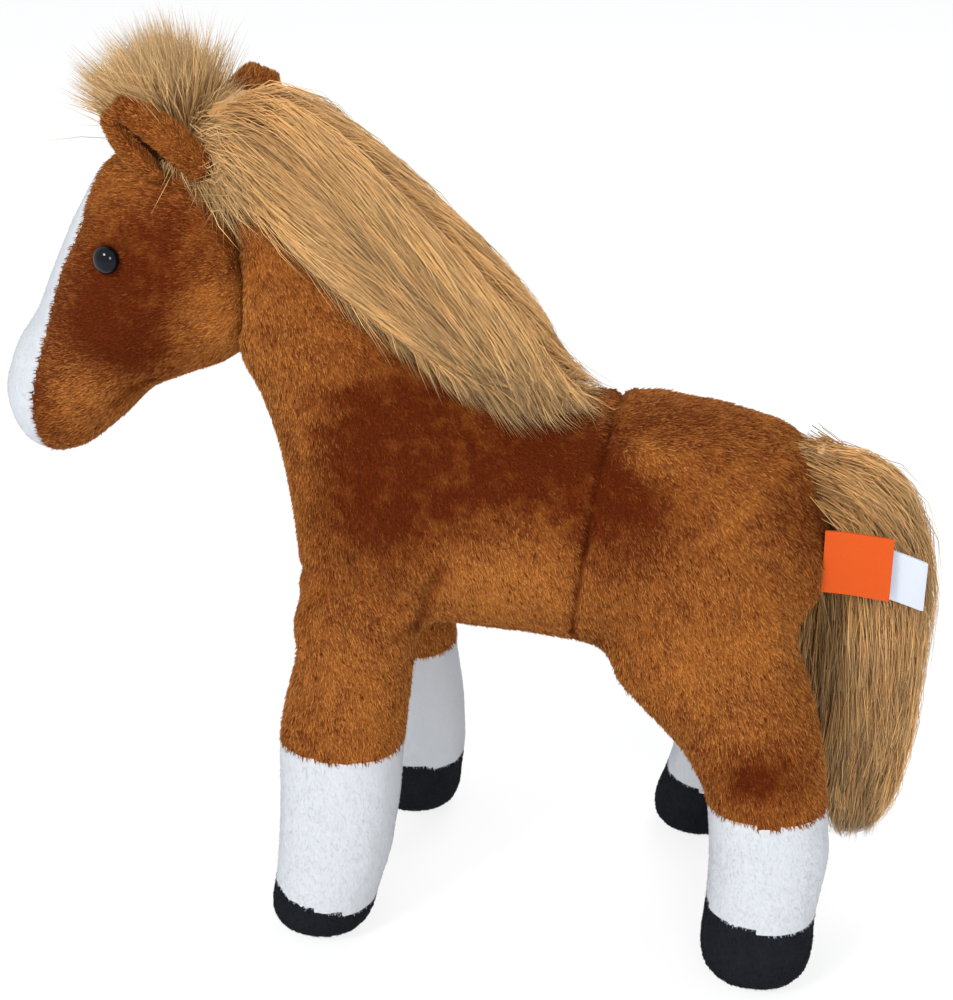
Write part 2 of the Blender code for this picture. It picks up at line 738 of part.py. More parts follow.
def build_body(hips, head_space):
    """Four covers and a belly gusset round the stuffing of body and neck."""
    gap = SEAM_GAP / 2
    outer = body_form()
    core = cutter("body core", body_form(-PLUSH))
    foot = body_point(*FLANK_FOOT_SHARES)
    flank = (body_point(*FLANK_TOP_SHARES) - foot).normalized() * BODY_LENGTH
    rearward = Vector((BODY_LENGTH, 0, 0))
    step = Vector((gap, 0, 0))
    fore = prism([foot - step + flank, foot - step - flank, foot - 2 * rearward - flank, foot - 2 * rearward + 2 * flank])
    aft = prism([foot + step - flank, foot + step + flank, foot + rearward + flank, foot + rearward - flank])
    regions = {"front": cutter("front of flank seam", fore), "rear": cutter("rear of flank seam", aft)}
    far = BODY_LENGTH + OVERRUN
    halves = {
        "left": cutter("left of back seam", block((-far, -far, -far), (far, -gap, 2 * far))),
        "right": cutter("right of back seam", block((-far, gap, -far), (far, far, 2 * far))),
    }
    start, end, top = GUSSET_SHARES
    low = body_point(start, 0)
    high = body_point(end, top)
    low.z -= BODY_DEPTH
    side = Vector((0, BODY_WIDTH, 0))
    step = Vector((gap, 0, gap))
    belly = cutter("belly region", block(low - side + step, high + side - step))
    round_belly = cutter("round belly region", block(low - side - step, high + side + step))
    for end_name, region in regions.items():
        for side_name, half in halves.items():
            own = hips[f"{LEG_ENDS[end_name]}_{side_name}"]
            cuts = [core, *own, round_belly] + ([head_space] if end_name == "front" else [])
            piece(f"{end_name}_cover_{side_name}", outer, CHESTNUT, None, [region, half], cuts)
    every_hip = [space for spaces in hips.values() for space in spaces]
    piece("belly_gusset", outer, CHESTNUT, None, [belly], [core, *every_hip])
    front, back, _ = neck_and_body_rows()[len(NECK_SHARES)]
    line = (back - front).normalized() * BODY_LENGTH
    step = Vector((line.z, 0, -line.x)).normalized() * gap
    aside = step.normalized() * BODY_LENGTH
    body_side = prism([front - line + step, back + line + step, back + line + 2 * aside, front - line + 2 * aside])
    neck_side = prism([front - line - step, back + line - step, back + line - 2 * aside, front - line - 2 * aside])
    fill = body_form(-PLUSH - SEAM_GAP)
    piece("body_stuffing", fill, STUFFING, None, [cutter("behind neck", body_side)], every_hip)
    cuts = [*hips["front_left"], *hips["front_right"], head_space]
    piece("neck_stuffing", fill, STUFFING, None, [cutter("neck side", neck_side)], cuts)


def build_head(pivot):
    """Two brown covers and a white blaze round the stuffing, with its locked eyes."""
    gap = SEAM_GAP / 2
    outer = head_form()
    core = cutter("head core", head_form(-PLUSH), pivot)
    seam = [head_point(*share) for share in BLAZE_SEAM_SHARES]
    aside = Vector((gap, 0, 0))
    ahead = Vector((HEAD_LENGTH, 0, 0))
    white = prism([p - aside for p in seam] + [seam[-1] - ahead, seam[0] - ahead])
    brown_edge = prism([p + aside for p in seam] + [seam[-1] - ahead, seam[0] - ahead])
    blaze = cutter("blaze region", white, pivot)
    round_blaze = cutter("round blaze region", brown_edge, pivot)
    far = HEAD_HEIGHT
    halves = {
        "left": cutter("left of head seam", block((-far, -far, -far), (far, -gap, far)), pivot),
        "right": cutter("right of head seam", block((-far, gap, -far), (far, far, far)), pivot),
    }
    pockets = []
    for side_name, side in (("left", -1), ("right", 1)):
        start = head_point(*EYE_PLACE_SHARES) + Vector((0, side * HEAD_WIDTH, 0))
        place, normal = surface_point(outer, start, Vector((0, -side, 0)))
        seat = empty(f"{side_name} eye seat", place, pivot, normal, Vector((1, 0, 0)))
        hole = cutter(f"{side_name} eye hole", turned(eye_profile(SEAM_GAP), EYE_STEPS), seat)
        piece(f"eye_{side_name}", turned(eye_profile(), EYE_STEPS), GLOSS_BLACK, seat)
        top = -PLUSH - WASHER_SINK
        low = top - WASHER_THICKNESS
        ring = washer_ring(SHANK_RADIUS + SEAM_GAP, WASHER_RADIUS, low, top, EYE_STEPS)
        piece(f"eye_washer_{side_name}", ring, CLEAR_PLASTIC, seat)
        wide = WASHER_RADIUS + SEAM_GAP
        narrow = SHANK_RADIUS + SEAM_GAP
        deep = -SHANK_LENGTH - SEAM_GAP
        profile = ((0, deep), (narrow, deep), (narrow, low - SEAM_GAP), (wide, low - SEAM_GAP), (wide, PLUSH), (0, PLUSH))
        pockets.append(cutter(f"{side_name} washer pocket", turned(profile, EYE_STEPS), seat))
        piece(f"head_cover_{side_name}", outer, CHESTNUT, pivot, [halves[side_name]], [core, round_blaze, hole])
    piece("blaze_panel", outer, WHITE_PLUSH, pivot, [blaze], [core])
    piece("head_stuffing", head_form(-PLUSH - SEAM_GAP), STUFFING, pivot, [], pockets)


def build_ears(head):
    """Each ear's cloth and lining, trimmed where they fold against the head. Returns the ears' spaces."""
    spaces = []
    skull = head_form(SEAM_GAP)
    for side_name, side, lean, back in (
        ("left", -1, EAR_LEFT_LEAN, EAR_LEFT_BACK),
        ("right", 1, EAR_RIGHT_LEAN, EAR_RIGHT_BACK),
    ):
        start = head_point(*EAR_PLACE_SHARES) + Vector((0, side * EAR_SPREAD, HEAD_HEIGHT))
        place, _ = surface_point(head_form(), start, Vector((0, 0, -1)))
        pivot = empty(f"{side_name} ear fold axis", place, head, Vector(lean), Vector(back))
        trims = met_by(f"{side_name} ear skull", skull, head, pivot, FOLD_AXIS, EAR_RANGE)
        lining_inset = (PLUSH + LINING) / 2 + 2 * SEAM_GAP
        piece(f"ear_{side_name}", ear_layer(0.0, PLUSH), CHESTNUT, pivot, [], trims)
        lining = ear_layer(lining_inset, LINING, EAR_LINING_ROWS, EAR_HEM)
        piece(f"ear_lining_{side_name}", lining, DARK_LINING, pivot, [], trims)
        space = swept(ear_layer(0.0, PLUSH + 2 * JOINT_GAP), FOLD_AXIS, EAR_RANGE)
        bmesh.ops.transform(space, matrix=pivot.matrix_local, verts=space.verts)
        spaces.append(space)
    return spaces


def build_hair(head, head_space, ear_spaces):
    """Forelock on the head and mane on the neck, each clear of what turns beside it."""
    ears = [cutter("ear space", space, head) for space in ear_spaces]
    skull = cutter("skull", head_form(SEAM_GAP), head)
    piece("forelock", forelock_form(), HAIR, head, [], [skull, *ears])
    tuft = cutter("forelock space", swept(forelock_form(JOINT_GAP), NOD_AXIS, HEAD_RANGE), head)
    nodding = [cutter("nodding ear space", swept(space, NOD_AXIS, HEAD_RANGE), head) for space in ear_spaces]
    neck = cutter("neck surface", body_form(SEAM_GAP))
    piece("mane", mane_form(), HAIR, None, [], [neck, head_space, tuft, *nodding])


def build_tail():
    """Long pile round a sewn core, hanging from a root on the rump."""
    start = body_point(1.0, TAIL_ROOT_SHARE) + Vector((BODY_LENGTH, 0, 0))
    place, _ = surface_point(body_form(), start, Vector((-1, 0, 0)))
    pivot = empty("tail root axis", place)
    rump = met_by("tail rump", body_form(JOINT_GAP), None, pivot, TAIL_AXIS, TAIL_RANGE)
    line = [middle for middle, _, _ in tail_middle()]
    along = (line[2] - line[0]).to_track_quat("Z", "Y").to_matrix().to_4x4()

    def core(grow, start):
        radius = TAIL_CORE_RADIUS + grow
        form = turned(((0, start), (radius, start), (radius, TAIL_CORE_LENGTH + grow), (0, TAIL_CORE_LENGTH + grow)), EYE_STEPS)
        bmesh.ops.transform(form, matrix=Matrix.Translation(line[0]) @ along, verts=form.verts)
        return form

    piece("tail_core", core(0.0, -TAIL_CORE_RADIUS), WHITE_TAPE, pivot, [], rump)
    hollow = cutter("tail core space", core(SEAM_GAP, -TAIL_CORE_LENGTH), pivot)
    piece("tail_hair", tail_form(), HAIR, pivot, [], [hollow, *rump])


def build_tabs():
    """Two folded tabs sewn side by side into the seam of the rump."""
    start = body_point(1.0, TAB_HEIGHT_SHARE) + Vector((BODY_LENGTH, -TAB_OFFSET, 0))
    place, _ = surface_point(body_form(), start, Vector((-1, 0, 0)))
    pivot = empty("tab seam axis", place)
    rump = met_by("tab rump", body_form(JOINT_GAP), None, pivot, TAB_AXIS, TAB_RANGE)
    gap = SEAM_GAP / 2
    for name, length, height, outer, inner, finish in (
        ("orange_tab", ORANGE_TAB_LENGTH, ORANGE_TAB_HEIGHT, -gap - TAB_THICKNESS, -gap, ORANGE_TAPE),
        ("white_tab", WHITE_TAB_LENGTH, WHITE_TAB_HEIGHT, gap, gap + TAB_THICKNESS, WHITE_TAPE),
    ):
        plate = block((-PLUSH, outer, -height / 2), (length, inner, height / 2))
        piece(name, plate, finish, pivot, [], rump)


for startup in list(bpy.data.objects):
    bpy.data.objects.remove(startup)
HORSE = new_collection("Plush horse")
CUTTERS = new_collection("Cutters")

head_pivot = empty("nod axis", neck_point(*HEAD_PLACE_SHARES))
head_space = cutter("head space", swept(head_form(JOINT_GAP), NOD_AXIS, HEAD_RANGE), head_pivot)
hip_spaces = {leg.name: build_leg(leg) for leg in all_legs()}
build_body(hip_spaces, head_space)
build_head(head_pivot)
ear_spaces = build_ears(head_pivot)
build_hair(head_pivot, head_space, ear_spaces)
build_tail()
build_tabs()
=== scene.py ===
# %% [markdown]
# A standing plush horse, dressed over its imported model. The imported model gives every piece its
# place in metres, with the nose along -X and the tail along +X, and each cell below makes one thing
# that the bare solids can't show: stuffed cloth, short pile, long pile, glossy eyes, tape.

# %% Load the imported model
import json
import math

import bmesh
import bpy
import numpy as np
from mathutils import Matrix, Vector
from mathutils.bvhtree import BVHTree
from mathutils.kdtree import KDTree

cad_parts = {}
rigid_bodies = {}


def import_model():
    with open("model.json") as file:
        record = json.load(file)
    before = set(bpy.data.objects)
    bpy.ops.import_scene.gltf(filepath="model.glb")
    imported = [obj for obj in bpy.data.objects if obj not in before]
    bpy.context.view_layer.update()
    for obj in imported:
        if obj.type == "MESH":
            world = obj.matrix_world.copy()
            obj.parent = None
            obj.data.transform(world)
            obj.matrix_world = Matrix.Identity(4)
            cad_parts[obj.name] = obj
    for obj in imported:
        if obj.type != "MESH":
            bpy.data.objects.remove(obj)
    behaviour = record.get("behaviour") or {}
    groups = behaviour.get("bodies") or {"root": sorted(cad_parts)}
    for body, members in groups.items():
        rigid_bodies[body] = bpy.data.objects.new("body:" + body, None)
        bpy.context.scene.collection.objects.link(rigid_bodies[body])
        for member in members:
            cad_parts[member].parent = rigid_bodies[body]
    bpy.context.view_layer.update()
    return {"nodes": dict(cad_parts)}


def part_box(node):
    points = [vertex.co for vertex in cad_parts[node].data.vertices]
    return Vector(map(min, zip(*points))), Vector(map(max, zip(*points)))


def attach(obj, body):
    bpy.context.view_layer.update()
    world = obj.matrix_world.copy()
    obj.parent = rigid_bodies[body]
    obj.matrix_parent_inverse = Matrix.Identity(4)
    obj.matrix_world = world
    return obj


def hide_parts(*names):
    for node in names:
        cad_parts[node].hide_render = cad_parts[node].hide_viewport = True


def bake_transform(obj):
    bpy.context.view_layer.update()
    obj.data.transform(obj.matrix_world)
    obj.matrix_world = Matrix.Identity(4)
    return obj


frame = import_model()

MM = 0.001

# %% [markdown]
# The camera comes first, because every later choice is judged through it. It looks at the horse's
# left side from a little above and a little behind, through a long lens, as for a catalogue.

# %% Camera
AZIMUTH = math.radians(10)
ELEVATION = math.radians(24)
DISTANCE = 0.65
AIM = Vector((0.0044, 0, 0.1432))
towards_camera = Vector((
    math.sin(AZIMUTH) * math.cos(ELEVATION),
    -math.cos(AZIMUTH) * math.cos(ELEVATION),
    math.sin(ELEVATION),
))
bpy.ops.object.camera_add(location=AIM + towards_camera * DISTANCE)
camera = bpy.context.object
camera.rotation_euler = towards_camera.to_track_quat("Z", "Y").to_euler()
camera.data.lens = 70.96
camera.data.sensor_width = 36
bpy.context.scene.camera = camera

# %% [markdown]
# Soft studio light: a pale world lights everything evenly, a large panel on the left gives the
# stuffed forms their roundness, and a weaker one behind catches the tips of the pile.

# %% Light and floor
world = bpy.data.worlds.new("studio")
bpy.context.scene.world = world
world.use_nodes = True
sky = world.node_tree.nodes["Background"].inputs
sky["Color"].default_value = (0.94, 0.97, 1.0, 1)
sky["Strength"].default_value = 0.85


def panel(name, place, size, watts):
    """A square lamp at a place, turned to the middle of the horse."""
    bpy.ops.object.light_add(type="AREA", location=place)
    lamp = bpy.context.object
    lamp.name = name
    lamp.rotation_euler = (Vector(place) - AIM).to_track_quat("Z", "Y").to_euler()
    lamp.data.size = size
    lamp.data.energy = watts
    return lamp


panel("key", (-0.70, -1.05, 1.15), size=0.34, watts=14.5)
panel("fill", (0.45, -1.25, 0.75), size=0.42, watts=9.0)
panel("rim", (0.3, 0.9, 1.2), size=0.8, watts=10.0)

FLOOR_WIDTH = 14
bpy.ops.mesh.primitive_plane_add(size=FLOOR_WIDTH)
floor = bpy.context.object
floor.name = "floor"

# %% [markdown]
# Blender's shader nodes are plain arithmetic on sockets. A small class that wraps one socket lets
# the materials below be written as Python expressions, and one method makes every other node.

# %% Shader arithmetic


class Finish:
    """A Principled material and the tree of nodes that feeds it."""

    def __init__(self, name):
        self.material = bpy.data.materials.new(name)
        self.material.use_nodes = True
        self.tree = self.material.node_tree
        self.shader = self.tree.nodes["Principled BSDF"]

    def node(self, kind, inputs=None, stops=None, **settings):
        """A node of a type, with its settings, its ramp's stops and its inputs."""
        made = self.tree.nodes.new(kind)
        for key, value in settings.items():
            setattr(made, key, value)
        if stops:
            ramp = made.color_ramp
            while len(ramp.elements) < len(stops):
                ramp.elements.new(1.0)
            for element, (place, colour) in zip(ramp.elements, stops):
                element.position = place
                element.color = (*colour, 1)
        for key, value in (inputs or {}).items():
            self.feed(made.inputs[key], value)
        return made

    def feed(self, socket, value):
        """Links a signal to a socket, or sets a plain number or colour on it."""
        if isinstance(value, Signal):
            self.tree.links.new(value.socket, socket)
        elif isinstance(value, tuple) and len(socket.default_value) == 4:
            socket.default_value = (*value, 1)
        else:
            socket.default_value = value

    def out(self, kind, output, inputs=None, stops=None, **settings):
        return Signal(self, self.node(kind, inputs, stops, **settings).outputs[output])

    def set(self, **values):
        """Feeds the shader's own inputs, named with underscores for spaces."""
        for key, value in values.items():
            self.feed(self.shader.inputs[key.replace("_", " ")], value)

    def place(self):
        """Object coordinates."""
        return self.out("ShaderNodeTexCoord", "Object")

    def attribute(self, name):
        return self.out("ShaderNodeAttribute", "Fac", attribute_name=name)

    def noise(self, where, scale, detail=2.0, roughness=0.5):
        inputs = {"Vector": where, "Scale": scale, "Detail": detail, "Roughness": roughness}
        return self.out("ShaderNodeTexNoise", "Fac", inputs)

    def ramp(self, factor, *stops):
        return self.out("ShaderNodeValToRGB", "Color", {"Fac": factor}, stops)

    def mix(self, first, second, factor, blend="MIX"):
        made = self.node("ShaderNodeMix", data_type="RGBA", blend_type=blend)
        self.feed(made.inputs[0], factor)
        self.feed(made.inputs[6], first)
        self.feed(made.inputs[7], second)
        return Signal(self, made.outputs[2])

    def shaded(self, colour, share):
        """A colour made darker or brighter by a number."""
        grey = {"Red": share, "Green": share, "Blue": share}
        return self.mix(colour, self.out("ShaderNodeCombineColor", 0, grey), 1.0, "MULTIPLY")

    def sine(self, angle):
        return self.out("ShaderNodeMath", "Value", {0: angle}, operation="SINE")

    def bump(self, height, strength, distance):
        inputs = {"Height": height, "Strength": strength, "Distance": distance}
        return self.out("ShaderNodeBump", "Normal", inputs)


class Signal:
    """One socket's value, which takes part in sums."""

    def __init__(self, finish, socket):
        self.finish = finish
        self.socket = socket

    def math(self, operation, *values, clamp=False):
        made = self.finish.node("ShaderNodeMath", operation=operation, use_clamp=clamp)
        for socket, value in zip(made.inputs, values):
            self.finish.feed(socket, value)
        return Signal(self.finish, made.outputs[0])

    def __add__(self, other):
        return self.math("ADD", self, other)

    def __radd__(self, other):
        return self.math("ADD", other, self)

    def __sub__(self, other):
        return self.math("SUBTRACT", self, other)

    def __mul__(self, other):
        return self.math("MULTIPLY", self, other)

    def __pow__(self, other):
        return self.math("POWER", self, other)

    def clamped(self):
        return self.math("ADD", self, 0.0, clamp=True)


# %% [markdown]
# The floor is a pale sweep of paper. To the camera, and to rays that come off or through a shiny
# piece, it glows near white, while the horse's shadow still shows on it.

# %% Floor finish
paper = Finish("paper")
paper.set(Base_Color=(0.93, 0.93, 0.94), Roughness=0.9)
rays = paper.node("ShaderNodeLightPath")
camera_ray, glossy_ray, through_ray = (
    Signal(paper, rays.outputs[f"Is {kind} Ray"]) for kind in ("Camera", "Glossy", "Transmission")
)
seen = (camera_ray + glossy_ray + through_ray).clamped()
GLOW_SHARE = 0.8
glow = paper.node("ShaderNodeEmission", {"Color": (1.0, 1.0, 1.0), "Strength": 1.0})
both = paper.node("ShaderNodeMixShader", {"Fac": seen * GLOW_SHARE})
paper.tree.links.new(paper.shader.outputs[0], both.inputs[1])
paper.tree.links.new(glow.outputs[0], both.inputs[2])
paper.tree.links.new(both.outputs[0], paper.tree.nodes["Material Output"].inputs["Surface"])
floor.data.materials.append(paper.material)

# %% [markdown]
# Short plush is knitted cloth with a few millimetres of fine pile. Its colour isn't even: where the
# pile lies flat it is dark and reddish, and where it is brushed up its pale tips show. Each tuft
# carries two numbers, how far it stands up (tone), with painted highlights and painted shade added
# into it, and how near its tip a point is (along). Towards its roots the pile is painted darker, a
# painted shade deep in the pile.

# %% Plush finishes


def plush(name, flat, brushed, tip, sheen, depth=0.40, speckle=0.4):
    """Pile in three colours: lying flat, brushed up, and at its tips, mixed by a tone that also
    carries painted highlights and painted shade. Depth is how much painted shade darkens its roots,
    and speckle is the grain of single hairs."""
    made = Finish(name)
    where = made.place()
    patches = made.noise(where, 26.0, 3.0, 0.6)
    tone = made.attribute("tone")
    along = made.attribute("along")
    fine = made.noise(where, 170.0, 2.0, 0.6)
    grain = made.noise(where, 1500.0, 2.0, 0.6)
    pile_up_and_painted_light = ((patches - 0.5) * 1.2 + (fine - 0.5) * 1.0 + tone).clamped()
    colour = made.mix(flat, brushed, pile_up_and_painted_light)
    colour = made.mix(colour, tip, (along ** 1.6 * (0.02 + tone * 0.8)).clamped())
    # Painted shade: each tuft is darker towards its root, by depth.
    root = ((1 - depth) + along * depth) * ((grain - 0.5) * speckle + 1.0)
    made.set(
        Base_Color=made.shaded(colour, root), Roughness=0.8, Specular_IOR_Level=0.03,
        Sheen_Weight=sheen, Sheen_Roughness=0.4, Sheen_Tint=tip,
    )
    return made.material


CHESTNUT = plush(
    "chestnut plush", flat=(0.105, 0.015, 0.002), brushed=(0.385, 0.119, 0.020),
    tip=(0.70, 0.30, 0.08), sheen=0.10, depth=0.5, speckle=1.6,
)
WHITE_PLUSH = plush(
    "white plush", flat=(0.475, 0.492, 0.515), brushed=(0.51, 0.527, 0.55),
    tip=(0.54, 0.555, 0.575), sheen=0.04, depth=0.08, speckle=0.10,
)
BLACK_PLUSH = plush(
    "black plush", flat=(0.008, 0.009, 0.011), brushed=(0.015, 0.017, 0.021),
    tip=(0.030, 0.032, 0.040), sheen=0.03,
)
DARK_LINING = plush(
    "ear lining", flat=(0.018, 0.006, 0.003), brushed=(0.050, 0.015, 0.005),
    tip=(0.10, 0.034, 0.011), sheen=0.02,
)

# %% [markdown]
# Long pile is combed acrylic hair. Each strand is painted darker at its root, a painted shade deep
# in the hair, and pale at its tip, and neighbouring strands differ a little, which is what makes
# hair read as hair.

# %% Hair finish


def long_pile(name, root, middle, tip):
    """Hair that pales from a root in painted shade to its tip, brighter or darker by its tone."""
    made = Finish(name)
    tone = made.attribute("tone")
    along = made.attribute("along")
    colour = made.ramp(along, (0.0, root), (0.35, middle), (1.0, tip))
    made.set(
        Base_Color=made.shaded(colour, 0.45 + tone * 0.68), Roughness=0.5,
        Sheen_Weight=0.05, Specular_IOR_Level=0.22,
    )
    return made.material


# The root colour is painted shade deep in the hair.
HAIR = long_pile(
    "golden pile", root=(0.47, 0.235, 0.075), middle=(0.61, 0.325, 0.110), tip=(0.70, 0.45, 0.20),
)

# %% [markdown]
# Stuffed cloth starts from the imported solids: they are merged into one closed form, its narrow gaps
# are closed, and the corners between its rows are smoothed away.

# %% Helpers for stuffed forms


def select_only(*objs):
    bpy.ops.object.select_all(action="DESELECT")
    for obj in objs:
        obj.select_set(True)
    bpy.context.view_layer.objects.active = objs[0]


def apply_modifier(obj, kind, **settings):
    modifier = obj.modifiers.new(kind.title(), kind)
    for key, value in settings.items():
        setattr(modifier, key, value)
    select_only(obj)
    bpy.ops.object.modifier_apply(modifier=modifier.name)


def shape_tree(*objs):
    """A search tree over the surfaces of several objects."""
    points, faces = [], []
    for obj in objs:
        start = len(points)
        points += [tuple(v.co) for v in obj.data.vertices]
        faces += [tuple(start + i for i in polygon.vertices) for polygon in obj.data.polygons]
    return BVHTree.FromPolygons(points, faces)


def nearest(tree, points):
    found = [tree.find_nearest(Vector(point))[:2] for point in points]
    return np.array([place for place, _ in found]), np.array([normal for _, normal in found])


def height_over(tree, points):
    """How far points lie outside a closed surface, less than zero inside it."""
    below, up = nearest(tree, points)
    return ((points - below) * up).sum(axis=1)


PACKED = {}


def merged_copy(name, nodes):
    """One mesh from copies of CAD nodes."""
    copies = []
    for node in nodes:
        copy = frame["nodes"][node].copy()
        copy.data = copy.data.copy()
        copy.parent = None
        for key in list(copy.keys()):
            del copy[key]
        bpy.context.scene.collection.objects.link(copy)
        copies.append(copy)
    select_only(*copies)
    if len(copies) > 1:
        bpy.ops.object.join()
    made = bpy.context.object
    made.name = name
    made.data.materials.clear()
    return made


def keep_largest(obj):
    """Removes every loose part of a mesh but the one with most points."""
    form = bmesh.new()
    form.from_mesh(obj.data)
    left = set(form.verts)
    islands = []
    while left:
        edge = {left.pop()}
        island = set(edge)
        while edge:
            edge = {e.other_vert(vert) for vert in edge for e in vert.link_edges} & left
            left -= edge
            island |= edge
        islands.append(island)
    islands.sort(key=len)
    for island in islands[:-1]:
        bmesh.ops.delete(form, geom=list(island), context="VERTS")
    form.to_mesh(obj.data)
    form.free()


def close_up(obj, voxel):
    """Makes one closed surface of small even faces."""
    apply_modifier(obj, "REMESH", mode="VOXEL", voxel_size=voxel)
    keep_largest(obj)


def stuffed(name, nodes, voxel, close, shrink, smooth):
    """A smooth closed form round the nodes. It is grown by close and drawn in again, which fills
    narrow gaps, and ends up inside their surface by shrink."""
    made = merged_copy(name, nodes)
    close_up(made, voxel)
    PACKED[name] = shape_tree(made)
    if close:
        apply_modifier(made, "DISPLACE", strength=close, mid_level=0.0)
        close_up(made, voxel)
    apply_modifier(made, "DISPLACE", strength=-close - shrink, mid_level=0.0)
    apply_modifier(made, "SMOOTH", factor=0.5, iterations=smooth)
    close_up(made, voxel)
    return made


def points_of(obj):
    """The mesh's points as rows of x, y, z."""
    flat = np.empty(len(obj.data.vertices) * 3)
    obj.data.vertices.foreach_get("co", flat)
    return flat.reshape(-1, 3)


def move_points(obj, points):
    obj.data.vertices.foreach_set("co", np.asarray(points, np.float32).ravel())
    obj.data.update()


def normals_of(obj):
    flat = np.empty(len(obj.data.vertices) * 3, np.float32)
    obj.data.vertex_normals.foreach_get("vector", flat)
    return flat.reshape(-1, 3).astype(float)


def push(obj, amount):
    """Moves each point along its normal, inwards where the amount is below zero."""
    move_points(obj, points_of(obj) + normals_of(obj) * amount[:, None])


def bell(distance, width):
    """One at no distance, a third at the width, and nearly nothing beyond twice the width."""
    return np.exp(-((distance / width) ** 2))


# %% [markdown]
# The body and the four legs are cut from the same cloth, so they start as one form. It takes the
# covers, the sleeves, the socks, the hooves and the soles with their stuffing.

# %% Body and legs as one form
LEGS = ("front_left", "front_right", "hind_left", "hind_right")
BODY_NODES = [
    "front_cover_left", "front_cover_right", "rear_cover_left", "rear_cover_right", "belly_gusset",
    "body_stuffing", "neck_stuffing",
]
LEG_PIECES = ("sleeve", "sock", "hoof", "sole", "stuffing")
leg_nodes = [f"{leg}_{piece}" for leg in LEGS for piece in LEG_PIECES]
form = stuffed("body_form", BODY_NODES + leg_nodes, 3.4 * MM, 2.6 * MM, 2.0 * MM, 7)

FLANK_FOOT = np.array((0.0424, 0.0, 0.1263))
FLANK_TOP = np.array((0.0514, 0.0, 0.1927))
GUSSET_EDGE = 0.1167

# %% [markdown]
# Real plush is blown tight by its filling, and its seams hold it back. Cloth simulation gives that:
# the seams, the soles and the neck's opening are held, and a little pressure lifts the rest.

# %% Cloth under pressure
HOLD_LEVELS = (0.25, 0.5, 0.75, 1.0)
LEAST_HOLD = 0.08
CLOTH_FRAMES = 20
PLUSH_CLOTH = {
    "quality": 4, "mass": 0.3, "tension_stiffness": 14, "compression_stiffness": 14,
    "shear_stiffness": 6, "bending_stiffness": 0.4, "use_pressure": True,
}


def inflate(obj, held, pressure, cap):
    """Lifts the points that aren't held, none of them further than the cap."""
    start = points_of(obj)
    group = obj.vertex_groups.new(name="held")
    for level in HOLD_LEVELS:
        chosen = np.flatnonzero((held > max(level - HOLD_LEVELS[0], LEAST_HOLD)) & (held <= level))
        group.add(chosen.tolist(), level, "REPLACE")
    cloth = obj.modifiers.new("Cloth", "CLOTH")
    for key, value in PLUSH_CLOTH.items():
        setattr(cloth.settings, key, value)
    cloth.settings.uniform_pressure_force = pressure
    cloth.settings.vertex_group_mass = "held"
    cloth.settings.effector_weights.gravity = 0
    for moment in range(1, CLOTH_FRAMES + 1):
        bpy.context.scene.frame_set(moment)
    blown = obj.evaluated_get(bpy.context.evaluated_depsgraph_get())
    flat = np.empty(len(start) * 3)
    blown.data.vertices.foreach_get("co", flat)
    obj.modifiers.remove(cloth)
    bpy.context.scene.frame_set(1)
    move = flat.reshape(-1, 3) - start
    far = np.linalg.norm(move, axis=1, keepdims=True)
    move *= np.minimum(1.0, cap / np.maximum(far, 1e-9))
    move_points(obj, start + move)


def spread_out(values, first, second, share):
    """Each point's value, drawn towards the mean of its neighbours along the edges."""
    count = len(values)
    around = np.bincount(first, values[second], count) + np.bincount(second, values[first], count)
    return 0.4 * values + 0.6 * around / share


def refit(obj, inset, rounds, most=4 * MM):
    """Brings a form back to its packed size in the large, so that only its small folds stay."""
    error = -inset - height_over(PACKED[obj.name], points_of(obj))
    flat = np.empty(len(obj.data.edges) * 2, np.int32)
    obj.data.edges.foreach_get("vertices", flat)
    first, second = flat[0::2], flat[1::2]
    share = np.bincount(flat, minlength=len(error))
    for _ in range(rounds):
        error = spread_out(error, first, second, share)
    push(obj, np.clip(error, -most, most))


def seam_distance(points, foot, normal):
    """Distance of each point from a seam's plane."""
    return (points - np.asarray(foot)) @ np.asarray(normal)


def groove(obj, foot, normal, where, depth, width):
    """A sewn line where a plane meets the form: an edge loop, drawn in between its neighbours."""
    sheet = bmesh.new()
    sheet.from_mesh(obj.data)
    near = []
    for face in sheet.faces:
        centre = face.calc_center_median()
        if abs((centre - Vector(foot)).dot(Vector(normal))) < 4 * MM and where(centre):
            near.append(face)
    geometry = set(near)
    for face in near:
        geometry.update(face.edges)
        geometry.update(face.verts)
    bmesh.ops.bisect_plane(
        sheet, geom=list(geometry), dist=0.2 * MM, plane_co=foot, plane_no=normal,
    )
    sheet.to_mesh(obj.data)
    sheet.free()
    points = points_of(obj)
    inside = np.array([where(Vector(point)) for point in points])
    away = seam_distance(points, foot, normal)
    push(obj, -depth * bell(away, width) * inside)


flank_line = (FLANK_TOP - FLANK_FOOT) / np.linalg.norm(FLANK_TOP - FLANK_FOOT)
flank_normal = np.array((flank_line[2], 0.0, -flank_line[0]))


def from_flank(points):
    """Distance of each point from the flank seam, less than zero towards the head."""
    return seam_distance(points, FLANK_FOOT, flank_normal)


hoof_middle = {leg: np.mean(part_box(f"{leg}_hoof"), axis=0) for leg in LEGS}
sock_top = {leg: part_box(f"{leg}_sock")[1][2] for leg in LEGS}
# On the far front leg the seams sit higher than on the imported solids.
sock_top["front_right"] += 5 * MM
FAR_HOOF_RISE = {"toe": 9 * MM, "heel": 12 * MM}


def hoof_plane(leg):
    """A point on the seam between a sock and its hoof, and the seam's upward normal."""
    low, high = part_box(f"{leg}_hoof")
    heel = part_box(f"{leg}_sock")[0][2]
    toe = high[2]
    if leg == "front_right":
        toe, heel = toe + FAR_HOOF_RISE["toe"], heel + FAR_HOOF_RISE["heel"]
    tilt = math.atan2(toe - heel, high[0] - low[0])
    middle = (*hoof_middle[leg][:2], (toe + heel) / 2)
    return middle, (math.sin(tilt), 0.0, math.cos(tilt))


